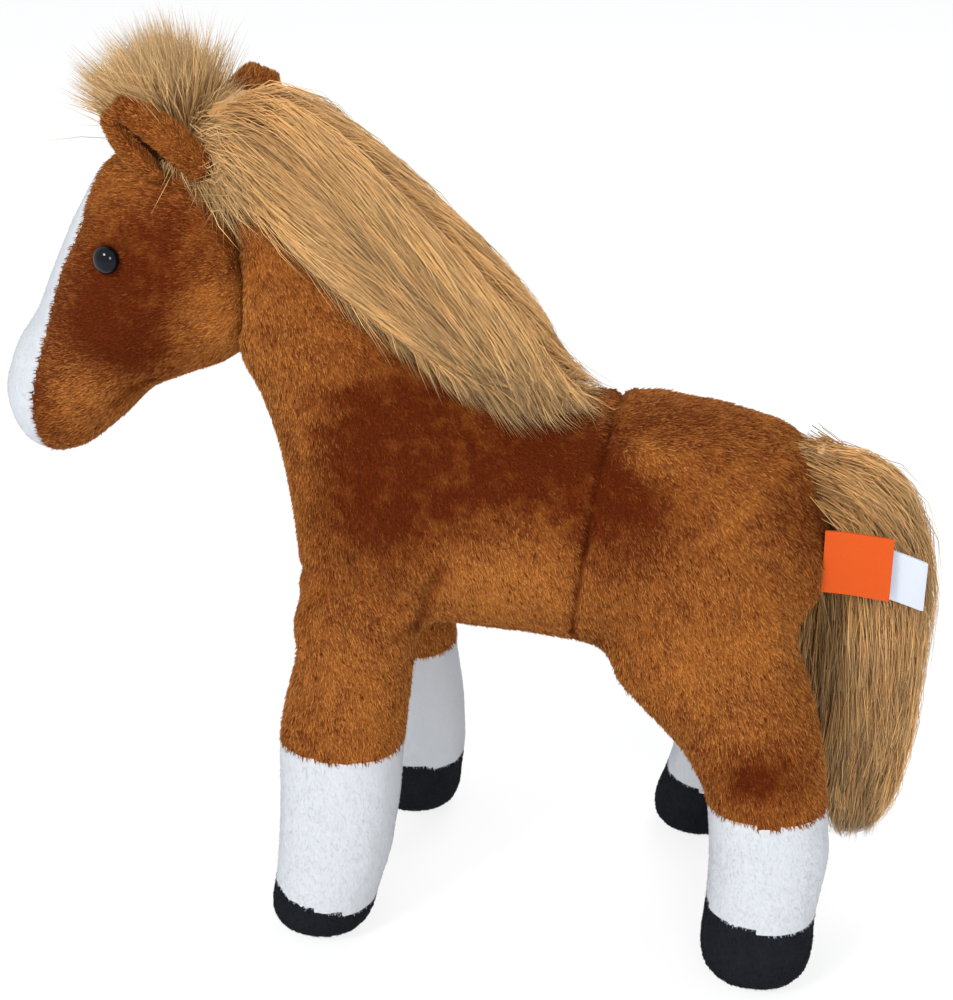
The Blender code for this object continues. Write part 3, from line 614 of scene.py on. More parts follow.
def leg_at(points):
    """The index of the leg nearest to each point on the floor plan."""
    centres = np.array([hoof_middle[leg][:2] for leg in LEGS])
    return np.linalg.norm(points[:, None, :2] - centres[None], axis=2).argmin(axis=1)


# %% [markdown]
# A real toy is filled through a slit until its cloth is taut. The flank seam, the sock and hoof
# seams, the soles and the neck's opening are held here as stitches hold them, and the rest swells.
# Afterwards the form is brought back to its packed size, so that only its small folds stay.

# %% Blow up the body and legs
points = points_of(form)
own_leg = leg_at(points)
at_flank = bell(from_flank(points), 3 * MM)
at_sole = points[:, 2] < 4 * MM
NECK_OPENING = (-78 * MM, 170 * MM)
at_neck = (points[:, 0] < NECK_OPENING[0]) & (points[:, 2] > NECK_OPENING[1])
held = np.maximum(at_flank * (points[:, 2] > 0.112), (at_sole | at_neck) * 1.0)
SEAM_REACH = 2.5 * MM
for index, leg in enumerate(LEGS):
    own = (own_leg == index) & (points[:, 2] < 0.09)
    foot, normal = hoof_plane(leg)
    at_hoof = bell(seam_distance(points, foot, normal), SEAM_REACH) * own
    at_sock = bell(points[:, 2] - sock_top[leg], SEAM_REACH) * own * 0.7
    held = np.maximum(held, np.maximum(at_hoof, at_sock))
inflate(form, held, 5.0, 2.0 * MM)
apply_modifier(form, "SMOOTH", factor=0.4, iterations=2)
apply_modifier(form, "SUBSURF", levels=1, render_levels=1)
refit(form, 0.6 * MM, 24)

# %% [markdown]
# Seams next: the flank seam that joins the front of the body to the rear, the back seam, and the
# edges of the belly gusset. Each gets its own edge loop, so that the line stays thin.

# %% Sew the body


def fold(obj, centre, along, reach, width, height):
    """A soft ridge in the cloth, or a dent where the height is below zero."""
    points = points_of(obj)
    line = np.asarray(along) / np.linalg.norm(along)
    offset = points - np.asarray(centre)
    run = offset @ line
    away = np.linalg.norm(offset - run[:, None] * line, axis=1)
    lift = height * np.exp(-((run / reach) ** 2) - (away / width) ** 2)
    push(obj, lift)


def one_sided(points):
    """The points with those of the left side mirrored to the right."""
    return points * np.array((1, 0, 1)) + np.abs(points * np.array((0, 1, 0)))


def line_distance(points, line):
    """Each point's distance from a broken line drawn on both sides, and how far along it is."""
    sided = one_sided(points)
    line = np.array(line)
    best = np.full(len(points), 1e9)
    share = np.zeros(len(points))
    for index, (start, end) in enumerate(zip(line[:-1], line[1:])):
        span = end - start
        run = np.clip((sided - start) @ span / (span @ span), 0, 1)
        away = np.linalg.norm(sided - start - run[:, None] * span, axis=1)
        closer = away < best
        best = np.where(closer, away, best)
        share = np.where(closer, (index + run) / (len(line) - 1), share)
    return best, share


def crease(obj, line, depth, width):
    """A furrow along a line on both sides of a form, shallow at its ends."""
    away, share = line_distance(points_of(obj), line)
    fade = np.sin(np.pi * np.clip(share * 0.9 + 0.05, 0, 1)) ** 0.5
    push(obj, -depth * bell(away, width) * fade)


# Each crease is a line in metres, then its depth and width in millimetres. The depth also sets how
# much painted shade darkens the pile along the crease.
BODY_CREASES = (
    (((-0.044, 0.035, 0.189), (-0.028, 0.037, 0.193), (-0.009, 0.030, 0.196)), 0.8, 2.6),
    (((-0.041, 0.037, 0.179), (-0.025, 0.040, 0.184), (-0.010, 0.035, 0.190)), 0.8, 2.6),
    (((0.001, 0.046, 0.140), (-0.004, 0.042, 0.128), (-0.010, 0.031, 0.110)), 2.2, 2.0),
    (((0.025, 0.046, 0.147), (0.026, 0.045, 0.132)), 0.6, 1.3),
    (((0.030, 0.046, 0.143), (0.027, 0.045, 0.134)), 0.4, 1.2),
    (((-0.048, 0.030, 0.126), (-0.053, 0.012, 0.121), (-0.054, 0.0, 0.121)), 1.8, 2.2),
    (((-0.055, 0.031, 0.208), (-0.067, 0.027, 0.206)), 0.8, 1.3),
    (((0.0495, 0.020, 0.180), (0.049, 0.032, 0.171), (0.048, 0.041, 0.160),
      (0.044, 0.044, 0.142), (0.042, 0.043, 0.126)), 1.3, 1.1),
)
HEAD_CREASES = (
    (((-0.098, 0.016, 0.184), (-0.105, 0.017, 0.180), (-0.109, 0.017, 0.176),
      (-0.113, 0.016, 0.171), (-0.117, 0.013, 0.165)), 3.0, 2.0),
    (((-0.061, 0.030, 0.209), (-0.068, 0.027, 0.206)), 0.9, 1.2),
    (((-0.060, 0.030, 0.203), (-0.070, 0.024, 0.201)), 0.9, 1.2),
)
for foot, normal, where, depth, width in (
    (tuple(FLANK_FOOT), tuple(flank_normal), lambda p: p.z > 0.114, 2.2, 1.4),
    ((0, 0, 0), (0, 1, 0), lambda p: p.z > 0.15 and p.x > -0.05, 0.6, 1.3),
    ((0, 0, GUSSET_EDGE - 3 * MM), (0, 0, 1), lambda p: -0.016 < p.x < 0.056, 0.8, 1.2),
):
    groove(form, foot, normal, where, depth * MM, width * MM)
for side in (-1, 1):
    fold(form, (0.061, side * 0.026, 0.1755), (1, 0, -0.1), 10 * MM, 3.2 * MM, 2.4 * MM)
    fold(form, (0.060, side * 0.034, 0.169), (1, 0, -0.1), 11 * MM, 3.0 * MM, -1.4 * MM)
    fold(form, (0.106, side * 0.010, 0.164), (0, 0.3, -1), 10 * MM, 9.0 * MM, 3.4 * MM)
    fold(form, (0.115, side * 0.018, 0.134), (0, 0, 1), 17 * MM, 11.0 * MM, 2.4 * MM)
fold(form, (-0.060, -0.034, 0.068), (0, 0, 1), 28 * MM, 15.0 * MM, 2.8 * MM)
fold(form, (0.097, 0, 0.172), (0, 1, 0), 20 * MM, 12.0 * MM, 2.0 * MM)
for line, depth, width in BODY_CREASES:
    crease(form, line, depth * MM, width * MM)

# %% [markdown]
# Each leg is a piece of its own. The form is cut level just under the belly, both sides are
# closed, and the pieces below are told apart by where they stand.

# %% Cut the legs from the body
LEG_TOP = 98.0 * MM
SCRAP_POINTS = 300


def cut_level(obj, height, keep_above):
    """Cuts a form level at a height, keeps one side and closes it."""
    sheet = bmesh.new()
    sheet.from_mesh(obj.data)
    bmesh.ops.bisect_plane(
        sheet, geom=sheet.verts[:] + sheet.edges[:] + sheet.faces[:],
        plane_co=(0, 0, height), plane_no=(0, 0, 1),
        clear_inner=keep_above, clear_outer=not keep_above,
    )
    edges = [e for e in sheet.edges if e.is_boundary]
    bmesh.ops.holes_fill(sheet, edges=edges)
    bmesh.ops.triangulate(sheet, faces=[f for f in sheet.faces if len(f.verts) > 4])
    sheet.to_mesh(obj.data)
    sheet.free()


legs_form = form.copy()
legs_form.data = form.data.copy()
bpy.context.scene.collection.objects.link(legs_form)
cut_level(legs_form, LEG_TOP, False)
cut_level(form, LEG_TOP, True)
keep_largest(form)
form.name = "body_skin"
select_only(legs_form)
bpy.ops.mesh.separate(type="LOOSE")
leg_skins = {}
for obj in list(bpy.context.selected_objects):
    points = points_of(obj)
    if len(points) < SCRAP_POINTS:
        bpy.data.objects.remove(obj)
        continue
    leg = LEGS[int(leg_at(points.mean(axis=0)[None])[0])]
    obj.name = f"{leg}_skin"
    leg_skins[leg] = obj

# %% [markdown]
# The head is its own stuffed form, seamed where the white blaze meets the brown cheeks.

# %% Head form
HEAD_NODES = ["head_cover_left", "head_cover_right", "blaze_panel", "head_stuffing"]
head = stuffed("head_skin", HEAD_NODES, 2.8 * MM, 2.0 * MM, 1.6 * MM, 7)
points = points_of(head)
blaze_line = np.array((
    (-0.110, 0.275), (-0.1134, 0.2527), (-0.1177, 0.2345), (-0.1257, 0.2195), (-0.1300, 0.2056),
    (-0.1352, 0.1917), (-0.1390, 0.1788), (-0.1404, 0.1660), (-0.1386, 0.1390),
))


def ahead_of_blaze_seam(points):
    """How far each point lies in front of the blaze's seam, along X."""
    order = blaze_line[::-1]
    return np.interp(points[:, 2], order[:, 1], order[:, 0]) - points[:, 0]


held = bell(ahead_of_blaze_seam(points), 2.5 * MM)
held = np.maximum(held, (points[:, 0] > -0.068) * 1.0)
inflate(head, held, 14.0, 1.5 * MM)
apply_modifier(head, "SMOOTH", factor=0.4, iterations=2)
apply_modifier(head, "SUBSURF", levels=1, render_levels=1)
refit(head, 0.5 * MM, 20)
push(head, -0.7 * MM * bell(ahead_of_blaze_seam(points_of(head)), 1.5 * MM))
EYES = {}
EYE_SET_BACK = 3.0 * MM
EYE_RISE = 1.4 * MM
for side, sign in (("left", -1), ("right", 1)):
    low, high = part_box(f"eye_{side}")
    outer = low[1] if sign < 0 else high[1]
    EYES[side] = Vector((
        (low[0] + high[0]) / 2, outer - sign * EYE_SET_BACK, (low[2] + high[2]) / 2 + EYE_RISE,
    ))
    away = np.linalg.norm(points_of(head) - np.array(EYES[side]), axis=1)
    push(head, -0.9 * MM * bell(away, 6 * MM))
for line, depth, width in HEAD_CREASES:
    crease(head, line, depth * MM, width * MM)
for side in (-1, 1):
    fold(head, (-0.067, side * 0.027, 0.206), (0.1, 0, 1), 16 * MM, 7.0 * MM, 2.2 * MM)

# %% [markdown]
# Pile is thousands of small tufts, each a spike of three faces that leans with the nap. They are
# scattered by area over a skin, turned by a flow and shaded with the skin's own roundness, so that
# they read as one soft surface and still break the outline.

# %% Tufts


def number_points(mesh, **values):
    """Gives each point of a mesh one number for each name."""
    for key, value in values.items():
        layer = mesh.attributes.new(key, "FLOAT", "POINT")
        layer.data.foreach_set("value", value.astype(np.float32))


def mesh_from(name, points, triangles, material, **values):
    """An object from rows of points and triangles, with one number per point for each value."""
    mesh = bpy.data.meshes.new(name)
    mesh.vertices.add(len(points))
    mesh.vertices.foreach_set("co", points.astype(np.float32).ravel())
    mesh.loops.add(triangles.size)
    mesh.loops.foreach_set("vertex_index", triangles.astype(np.int32).ravel())
    mesh.polygons.add(len(triangles))
    mesh.polygons.foreach_set("loop_start", np.arange(0, triangles.size, 3, dtype=np.int32))
    mesh.update(calc_edges=True)
    mesh.shade_smooth()
    number_points(mesh, **values)
    obj = bpy.data.objects.new(name, mesh)
    obj.data.materials.append(material)
    bpy.context.scene.collection.objects.link(obj)
    return obj


def unit(vectors):
    return vectors / np.maximum(np.linalg.norm(vectors, axis=-1, keepdims=True), 1e-9)


def spread(skin, count, weight, rng):
    """Random places on a skin, the skin's normals there, and its area by weight."""
    points = points_of(skin)
    normals = normals_of(skin)
    skin.data.calc_loop_triangles()
    corners = np.empty(len(skin.data.loop_triangles) * 3, np.int32)
    skin.data.loop_triangles.foreach_get("vertices", corners)
    corners = corners.reshape(-1, 3)
    tri = points[corners]
    area = np.linalg.norm(np.cross(tri[:, 1] - tri[:, 0], tri[:, 2] - tri[:, 0]), axis=1) / 2
    facing = unit(np.cross(tri[:, 1] - tri[:, 0], tri[:, 2] - tri[:, 0]))
    chance = area * weight(tri.mean(axis=1), facing)
    total = chance.sum()
    chosen = rng.choice(len(area), size=count, p=chance / total)
    a, b = rng.random(count), rng.random(count)
    flip = a + b > 1
    a[flip], b[flip] = 1 - a[flip], 1 - b[flip]
    share = np.stack([1 - a - b, a, b], axis=1)[:, :, None]
    places = (tri[chosen] * share).sum(axis=1)
    return places, unit((normals[corners[chosen]] * share).sum(axis=1)), total


# Patches where the pile is paler or darker: a place and a reach in millimetres, and how much paler
# or darker the pile is there. Some are pile that a hand has turned; others are painted highlights
# on each haunch's ridge and on the jaw, and painted shade under the haunch's fold and in the
# mouth's crease.
EVEN_TONE = 0.46
NAP_PATCHES_AND_PAINTED_LIGHT = (
    (-91, 33, 230, 30, -0.38), (-114, 29, 205, 18, -0.28), (-91, 31, 208, 26, -0.16),
    (-106, 25, 243, 16, -0.12), (-138, 14, 182, 10, -0.4), (-138, 13, 169, 8, -0.36),
    # The last two here are painted shade in the mouth's crease.
    (-97, 28, 197, 16, -0.2), (-104, 16, 178, 4.5, -0.6), (-110, 16, 173, 4.5, -0.5),
    # The first two here are a painted highlight on the jaw.
    (-66, 29, 213, 14, 0.3), (-77, 27, 203, 12, 0.34), (-118, 22, 178, 14, 0.34),
    (-101, 21, 250, 12, 0.24), (-50, 34, 191, 16, 0.24), (-45, 35, 172, 14, 0.14),
    (-13, 36, 188, 26, -0.32), (9, 37, 176, 30, -0.38), (-28, 42, 166, 26, -0.22),
    (-18, 45, 151, 26, -0.18), (35, 25, 177, 22, -0.32), (37, 40, 163, 16, -0.2),
    (26, 46, 138, 18, 0.4), (10, 46, 133, 14, 0.26), (73, 3, 180, 24, -0.22),
    # The first two here are a painted highlight on the haunch's ridge, the third painted shade under
    # its fold.
    (59, 26, 175, 7, 0.5), (70, 27, 173, 7, 0.3), (58, 36, 168, 16, -0.28),
    (64, 39, 160, 18, -0.18), (86, 37, 157, 22, 0.06), (81, 45, 130, 26, 0.06),
    (112, 18, 152, 16, -0.26), (83, 47, 102, 22, 0.16), (105, 45, 106, 20, 0.14),
    (99, 51, 77, 10, -0.42), (109, 49, 80, 10, -0.34), (-30, 45, 100, 26, 0.24),
    (-43, 37, 124, 12, -0.1), (51, 45, 146, 10, -0.12),
)


def brushed(points):
    """How far the pile stands up at each point: even, apart from patches that a hand has turned,
    with the table's painted highlights and painted shade, painted shade along every crease, and a
    thin darker line along the flank seam.
    """
    tone = np.full(len(points), EVEN_TONE)
    sided = one_sided(points) / MM
    for *centre, reach, amount in NAP_PATCHES_AND_PAINTED_LIGHT:
        away = np.linalg.norm(sided - np.array(centre), axis=1)
        tone += amount * bell(away, reach)
    # Painted shade: the pile is darker along every crease, the more the deeper it is.
    for line, depth, width in BODY_CREASES + HEAD_CREASES:
        away, _ = line_distance(points, line)
        tone -= 0.24 * depth * bell(away, width * MM)
    # A thin darker line along the flank seam.
    at_flank = (np.abs(points[:, 0] - 0.046) < 0.012) * (points[:, 2] > 0.108)
    tone -= 0.4 * bell(from_flank(points), MM) * at_flank
    return np.clip(tone, 0, 1)


def undercoat(skin, *materials, kind=None):
    """The knitted ground between the tufts, in the pile's tones, its painted highlights and painted
    shade included. Kind picks the material of each face by its centre."""
    points = points_of(skin)
    number_points(skin.data, tone=brushed(points) * 0.8, along=np.full(len(points), 0.35))
    for material in materials:
        skin.data.materials.append(material)
    if kind:
        centres = np.array([polygon.center for polygon in skin.data.polygons])
        skin.data.polygons.foreach_set("material_index", kind(centres).astype(np.int32))


MOST_TUFTS = 64000
NAP_STRAY = 0.22
LEAN_SPREAD = 8
LEAN_LIMITS = (4, 75)
TUFT_DEPTH = 0.3 * MM


def tufts(name, skin, weight, flow, density, length, width, lean, material, seed, sparkle=0.22):
    """Pile on a skin: density is in spikes per square millimetre, length and width in metres, lean
    in degrees. Sparkle is how far each spike's shading leaves the skin's own."""
    rng = np.random.default_rng(seed)
    total = spread(skin, 1, weight, rng)[2]
    count = min(int(total * 1e6 * density), MOST_TUFTS)
    roots, normals, _ = spread(skin, count, weight, rng)
    way = flow(roots)
    way = way - normals * (way * normals).sum(axis=1, keepdims=True)
    way = unit(unit(way) + rng.normal(0, NAP_STRAY, (count, 3)))
    way = unit(way - normals * (way * normals).sum(axis=1, keepdims=True))
    across = np.cross(way, normals)
    angle = np.radians(np.clip(rng.normal(lean, LEAN_SPREAD, count), *LEAN_LIMITS))[:, None]
    reach = (length * rng.uniform(0.7, 1.15, count))[:, None]
    wide = (width * rng.uniform(0.75, 1.25, count))[:, None]
    base = roots - normals * TUFT_DEPTH
    left = base + across * wide / 2
    right = base - across * wide / 2
    ridge = base - way * wide * 0.35 + normals * wide * 0.55
    tip = roots + (way * np.cos(angle) + normals * np.sin(angle)) * reach
    points = np.stack([left, right, ridge, tip], axis=1).reshape(-1, 3)
    start = (np.arange(count) * 4)[:, None, None]
    faces = np.array(((0, 3, 2), (2, 3, 1), (1, 3, 0)))
    triangles = (start + faces[None]).reshape(-1, 3)

    # Single spikes differ in tone, and most where the tone is high: where the pile stands up, and
    # where highlights are painted.
    lit = brushed(roots)
    tone = np.clip(lit + rng.normal(0, 1, count) * (0.07 + 0.42 * lit), 0, 1)
    made = mesh_from(
        name, points, triangles, material,
        tone=np.repeat(tone, 4), along=np.tile((0.0, 0.0, 0.15, 1.0), count),
    )

    # Each spike is shaded much as the skin under it, or the pile would look like grit.
    shine = normals + rng.normal(0, sparkle, (count, 3))
    turn = min(0.45, 4 * sparkle)
    soft = np.stack([
        unit(shine + across * turn), unit(shine - across * turn),
        unit(shine), unit(shine + way * turn * 0.8),
    ], axis=1).reshape(-1, 3)
    made.data.normals_split_custom_set_from_vertices(soft.astype(np.float32))
    return made


def steady(*direction):
    """A flow that is the same everywhere."""
    return lambda points: np.tile(np.array(direction, float), (len(points), 1))


def everywhere(points, facing):
    return np.ones(len(points))


# %% [markdown]
# The nap runs down the body and back along it, down the legs, and forward on the face, where its
# points overlap the white blaze like a saw.

# %% Pile on the body
DOWN_BACK = steady(0.42, 0.0, -0.9)
MANE_SURFACE = shape_tree(frame["nodes"]["mane"])


def off_seam(points, gap=0.6 * MM):
    """False on the flank seam's line, and true away from it and on the legs."""
    return (np.abs(from_flank(points)) > gap) | (points[:, 2] < LEG_TOP + 2 * MM)


LEG_EDGE = 0.05 * MM


def body_region(front, side):
    """Where one cover's pile grows: thin under the mane, where nobody sees it."""
    def weight(points, facing):
        fore = from_flank(points) < 0
        keep = (fore == front) & (points[:, 1] * side >= 0)
        keep &= off_seam(points) & (points[:, 2] > LEG_TOP + LEG_EDGE)
        share = np.zeros(len(points))
        share[keep] = np.where(height_over(MANE_SURFACE, points[keep]) < -2 * MM, 0.15, 1.0)
        return share
    return weight


PLUSH_DENSITY = 2.45
PLUSH_LENGTH = 2.1 * MM
PLUSH_WIDTH = 0.56 * MM
PLUSH_LEAN = 15
for end, front in (("front", True), ("rear", False)):
    for side_name, side in (("left", -1), ("right", 1)):
        pile = tufts(
            f"{end}_pile_{side_name}", form, body_region(front, side), DOWN_BACK, PLUSH_DENSITY,
            PLUSH_LENGTH, PLUSH_WIDTH, PLUSH_LEAN, CHESTNUT, 11 + 2 * front + (side > 0),
        )
        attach(pile, "torso")
        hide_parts(f"{end}_cover_{side_name}")
undercoat(form, CHESTNUT)
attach(form, "torso")
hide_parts("belly_gusset", "body_stuffing", "neck_stuffing")

# %% [markdown]
# Each leg is a tube of three plushes: chestnut above, white below it, black at the foot. Their
# piles point down and lie over the sewn lines, which hides the stitches. On the real toy the cloth
# runs on from leg to body without a break.

# %% Pile on the legs
for number, leg in enumerate(LEGS):
    skin = leg_skins[leg]
    foot, normal = hoof_plane(leg)
    top = sock_top[leg]

    def band(plush_name):
        """Where one of the leg's three plushes grows, a hair's width off its seams."""
        def weight(points, facing):
            over_hoof = seam_distance(points, foot, normal)
            inside = (points[:, 2] > 1.2 * MM) & (points[:, 2] < LEG_TOP - LEG_EDGE)
            if plush_name == "sleeve":
                inside &= points[:, 2] > top + 0.2 * MM
            elif plush_name == "sock":
                inside &= (points[:, 2] < top - 0.2 * MM) & (over_hoof > 0.2 * MM)
            else:
                inside &= over_hoof < -0.3 * MM
            return inside * (np.abs(facing[:, 2]) < 0.995)
        return weight

    down = steady(0.25, 0.0, -1.0)
    sleeve = tufts(
        f"{leg}_sleeve_pile", skin, band("sleeve"), down, PLUSH_DENSITY, PLUSH_LENGTH, PLUSH_WIDTH,
        PLUSH_LEAN, CHESTNUT, 30 + number,
    )
    sock = tufts(
        f"{leg}_sock_pile", skin, band("sock"), down, 3.3, 1.2 * MM, 0.36 * MM,
        8, WHITE_PLUSH, 40 + number, 0.02,
    )
    hoof = tufts(
        f"{leg}_hoof_pile", skin, band("hoof"), down, 2.4, 1.1 * MM, 0.52 * MM,
        16, BLACK_PLUSH, 50 + number, 0.15,
    )

    def plush_at(centres):
        """Chestnut above the sock's seam, white below it and black below the hoof's."""
        below_sock = np.where(seam_distance(centres, foot, normal) > 0, 1, 2)
        return np.where(centres[:, 2] > top, 0, below_sock)

    undercoat(skin, CHESTNUT, WHITE_PLUSH, BLACK_PLUSH, kind=plush_at)
    for piece, nodes, slot in (
        (skin, (f"{leg}_stuffing", f"{leg}_sole"), "chestnut_plush"),
        (sleeve, (f"{leg}_sleeve",), "chestnut_plush"),
        (sock, (f"{leg}_sock",), "white_plush"),
        (hoof, (f"{leg}_hoof",), "black_plush"),
    ):
        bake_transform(piece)
        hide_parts(*nodes)

# %% [markdown]
# The cheeks' pile points to the nose, so that its tips lie over the edge of the white blaze. The
# blaze is a shorter plush, which keeps the face smooth. Round each eye the pile is left out, where
# the dome presses it flat.

# %% Pile on the head
FORWARD = steady(-1.0, 0.0, -0.1)
EYE_CLEARANCE = 5.2 * MM


def head_region(white, side):
    """Where the blaze's pile grows, or the cheeks' on one side, clear of the eyes."""
    def weight(points, facing):
        ahead = ahead_of_blaze_seam(points)
        keep = (ahead > 0.4 * MM) if white else (ahead < 0.1 * MM)
        for eye in EYES.values():
            keep &= np.linalg.norm(points - np.array(eye), axis=1) > EYE_CLEARANCE
        if side:
            keep &= points[:, 1] * side >= 0
        return keep.astype(float)
    return weight


for side_name, side in (("left", -1), ("right", 1)):
    pile = tufts(
        f"head_pile_{side_name}", head, head_region(False, side), FORWARD, 2.8, 1.9 * MM, 0.54 * MM,
        PLUSH_LEAN, CHESTNUT, 60 + side,
    )
    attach(pile, "head")
    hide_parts(f"head_cover_{side_name}")
blaze = tufts(
    "blaze_pile", head, head_region(True, 0), steady(-0.2, 0, -1), 3.4, 0.9 * MM, 0.45 * MM,
    8, WHITE_PLUSH, 70, 0.03,
)
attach(blaze, "head")
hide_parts("blaze_panel")
undercoat(head, CHESTNUT, WHITE_PLUSH, kind=lambda centres: ahead_of_blaze_seam(centres) > 0)
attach(head, "head")
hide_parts("head_stuffing")

# %% [markdown]
# Mane, forelock and tail are long pile. Mane and tail each have a soft core in their imported
# shape, a few millimetres smaller, with thousands of strands rooted on it; the forelock's strands
# root on the head. A strand is a thin closed prism that takes three steps along the combing, stays
# clear of what is under it, and leans to its lock's leader.

# %% Long pile
LOOSE_SHARE = 0.05
LOOSE_STRAY = 0.21
HAIR_STRAY = 0.08
SHORTEST_HAIR = 6 * MM


def strands(
    name, roots, normals, aim, comb, lengths, locks, seed, radius=0.14 * MM,
    over=None, loft=6.0, stray=0.22, cling=0.3, within=None, trim=0.0, notch=None, bright=0.5,
):
    """Hair from its roots. Aim is each strand's first direction, comb the way at any point, over
    what it lies on, and within the shape that it keeps to. Loft is how high it piles up in
    millimetres, stray how far the locks part, and cling how much of what stands above that is
    drawn down. No tip ends near the notch, a place and a reach."""
    rng = np.random.default_rng(seed)
    count = len(roots)

    # Every strand belongs to the lock of the nearest leader, and shares most of its chances.
    leaders = rng.choice(count, size=min(locks, count), replace=False)
    finder = KDTree(len(leaders))
    for index, leader in enumerate(leaders):
        finder.insert(Vector(roots[leader]), index)
    finder.balance()
    own = leaders[np.array([finder.find(Vector(root))[1] for root in roots])]
    layer = np.clip(rng.random(count) ** 1.6 * 0.75 + rng.random(count)[own] * 0.25, 0, 1)
    is_loose = rng.random(count) < LOOSE_SHARE
    loose = np.where(is_loose, LOOSE_STRAY, HAIR_STRAY)[:, None]
    wander = rng.normal(0, stray, (count, 3))[own] + rng.normal(0, 1, (count, 3)) * loose
    lengths = lengths * rng.uniform(0.75, 1.15, count)[own]
    spare = (rng.random(count)[own] ** 3 * 13 - 3) * MM + rng.uniform(-2.0, 2.0, count) * MM + trim

    def walk():
        """Three steps from each root, each one lifted clear of what lies under it."""
        place = roots
        path = [roots - normals * 1.0 * MM]
        way = unit(aim + wander * 0.5)
        for step in range(3):
            place = place + way * (lengths / 3)[:, None]
            if over is not None:
                below, up = nearest(over, place)
                height = ((place - below) * up).sum(axis=1)
                wish = (0.5 + loft * layer) * MM * (1.0, 0.9, 0.6)[step]
                lift = np.where(height < wish, wish - height, (wish - height) * cling)
                place = place + up * lift[:, None]
            path.append(place)
            way = unit(comb(place) + wander + unit(place - path[-2]) * 0.5)
        return np.stack(path, axis=1)

    # A strand that ends beyond the shape is cut shorter, twice over.
    path = walk()
    for _ in range(2 if within else 0):
        beyond = height_over(within, path[:, 3]) - spare
        if notch is not None:
            away = np.linalg.norm((path[:, 3] - notch[:3]) * (1, 0.3, 1), axis=1)
            beyond = np.maximum(beyond, 16 * MM * bell(away, notch[3]) - 3 * MM)
        lengths = np.maximum(lengths - np.maximum(beyond, 0) * 1.15, SHORTEST_HAIR)
        path = walk()

    # Each strand leans to its leader, most of all at its tip.
    tightness = (rng.uniform(0.1, 0.85, count) ** 1.2)[own] * ~is_loose
    for ring, share in ((1, 0.10), (2, 0.42), (3, 0.9)):
        amount = (tightness * share)[:, None]
        target = path[own, ring] + (path[:, 0] - path[own, 0]) * 0.2
        path[:, ring] = path[:, ring] * (1 - amount) + target * amount

    # Three rings of three points and a tip make each strand a thin closed prism.
    step = unit(np.diff(path, axis=1))
    ahead = np.concatenate([step[:, :1], unit(step[:, :-1] + step[:, 1:]), step[:, -1:]], axis=1)
    side = unit(np.cross(ahead, normals[:, None, :] + 1e-4))
    back = np.cross(ahead, side)
    thick = radius * rng.uniform(0.7, 1.3, count)
    rows = []
    for ring, taper in ((0, 1.0), (1, 1.0), (2, 0.75)):
        for angle in (0.5, 2.6, 4.7):
            around = side[:, ring] * math.cos(angle) + back[:, ring] * math.sin(angle)
            rows.append(path[:, ring] + around * (thick * taper)[:, None])
    rows.append(path[:, 3])
    points = np.stack(rows, axis=1).reshape(-1, 3)
    faces = []
    for ring in (0, 3):
        for k in range(3):
            a, b = ring + k, ring + (k + 1) % 3
            faces += [(a, b, b + 3), (a, b + 3, a + 3)]
    faces += [(6 + k, 6 + (k + 1) % 3, 9) for k in range(3)]
    start = (np.arange(count) * 10)[:, None, None]
    triangles = (start + np.array(faces)[None]).reshape(-1, 3)

    # Hair differs in tone by lock and by strand, and what lies on top is painted paler, a painted
    # light on the outer hair.
    shade = bright + rng.normal(0, 0.16, count)[own] + rng.normal(0, 0.36, count)
    shade = shade + (layer - 0.4) * 0.5
    along = np.repeat((0.0, 0.33, 0.7, 1.0), (3, 3, 3, 1))
    made = mesh_from(
        name, points, triangles, HAIR,
        tone=np.repeat(np.clip(shade, 0, 1), 10), along=np.tile(along, count),
    )
    return made


# %% [markdown]
# The mane is a strip of long pile sewn along the crest. Its hair falls back and down on either side
# of a parting, so it is made as a left and a right half, both combed away from the poll. The tips
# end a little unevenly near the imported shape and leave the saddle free.

# %% Mane
mane_core = stuffed("mane_core", ["mane"], 2.4 * MM, 0.0, 4.5 * MM, 5)
points = points_of(mane_core)
at_end = np.clip((points[:, :1] - 0.022) / 0.012, 0, 1)
move_points(mane_core, points + at_end * np.array((-1.0, 0.0, -2.0)) * MM)
POLL = np.array((-0.085, -0.015, 0.262))
MANE_TRIES = 14400
MANE_STRANDS = 10600


def mane_way(points):
    """Back and down from the poll, and fanned out near it."""
    out = points - POLL
    far = np.linalg.norm(out, axis=1, keepdims=True)
    side = np.sign(points[:, 1:2]) * np.array(((0.0, 0.35, 0.0),))
    lower = np.clip((points[:, :1] + 0.03) / 0.06, 0, 1) * np.array(((0.0, 0.0, -0.35),))
    fan = unit(out) * 0.55 * np.exp(-far / 0.05)
    return unit(np.array((0.79, 0, -0.61)) * 0.8 + fan + side + lower)


under_mane = shape_tree(mane_core, form, head)
body_tree = shape_tree(form)
for side_name, side in (("left", -1), ("right", 1)):
    rng = np.random.default_rng(80 + side)
    roots, normals, _ = spread(mane_core, MANE_TRIES, lambda p, f: (p[:, 1] * side >= 0) * 1.0, rng)
    keep = height_over(body_tree, roots) > 0
    roots, normals = roots[keep][:MANE_STRANDS], normals[keep][:MANE_STRANDS]
    hair = strands(
        f"mane_{side_name}", roots, normals, mane_way(roots) + normals * 0.2, mane_way,
        rng.uniform(34, 58, len(roots)) * MM, locks=900, seed=90 + side,
        over=under_mane, loft=5.0, stray=0.10, cling=0.65, within=MANE_SURFACE,
        trim=-3 * MM * np.clip((roots[:, 0] + 0.005) / 0.025, 0, 1),
        notch=np.array((0.037, side * 0.011, 0.187, 0.009)),
    )
    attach(hair, "torso")
    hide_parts("mane")
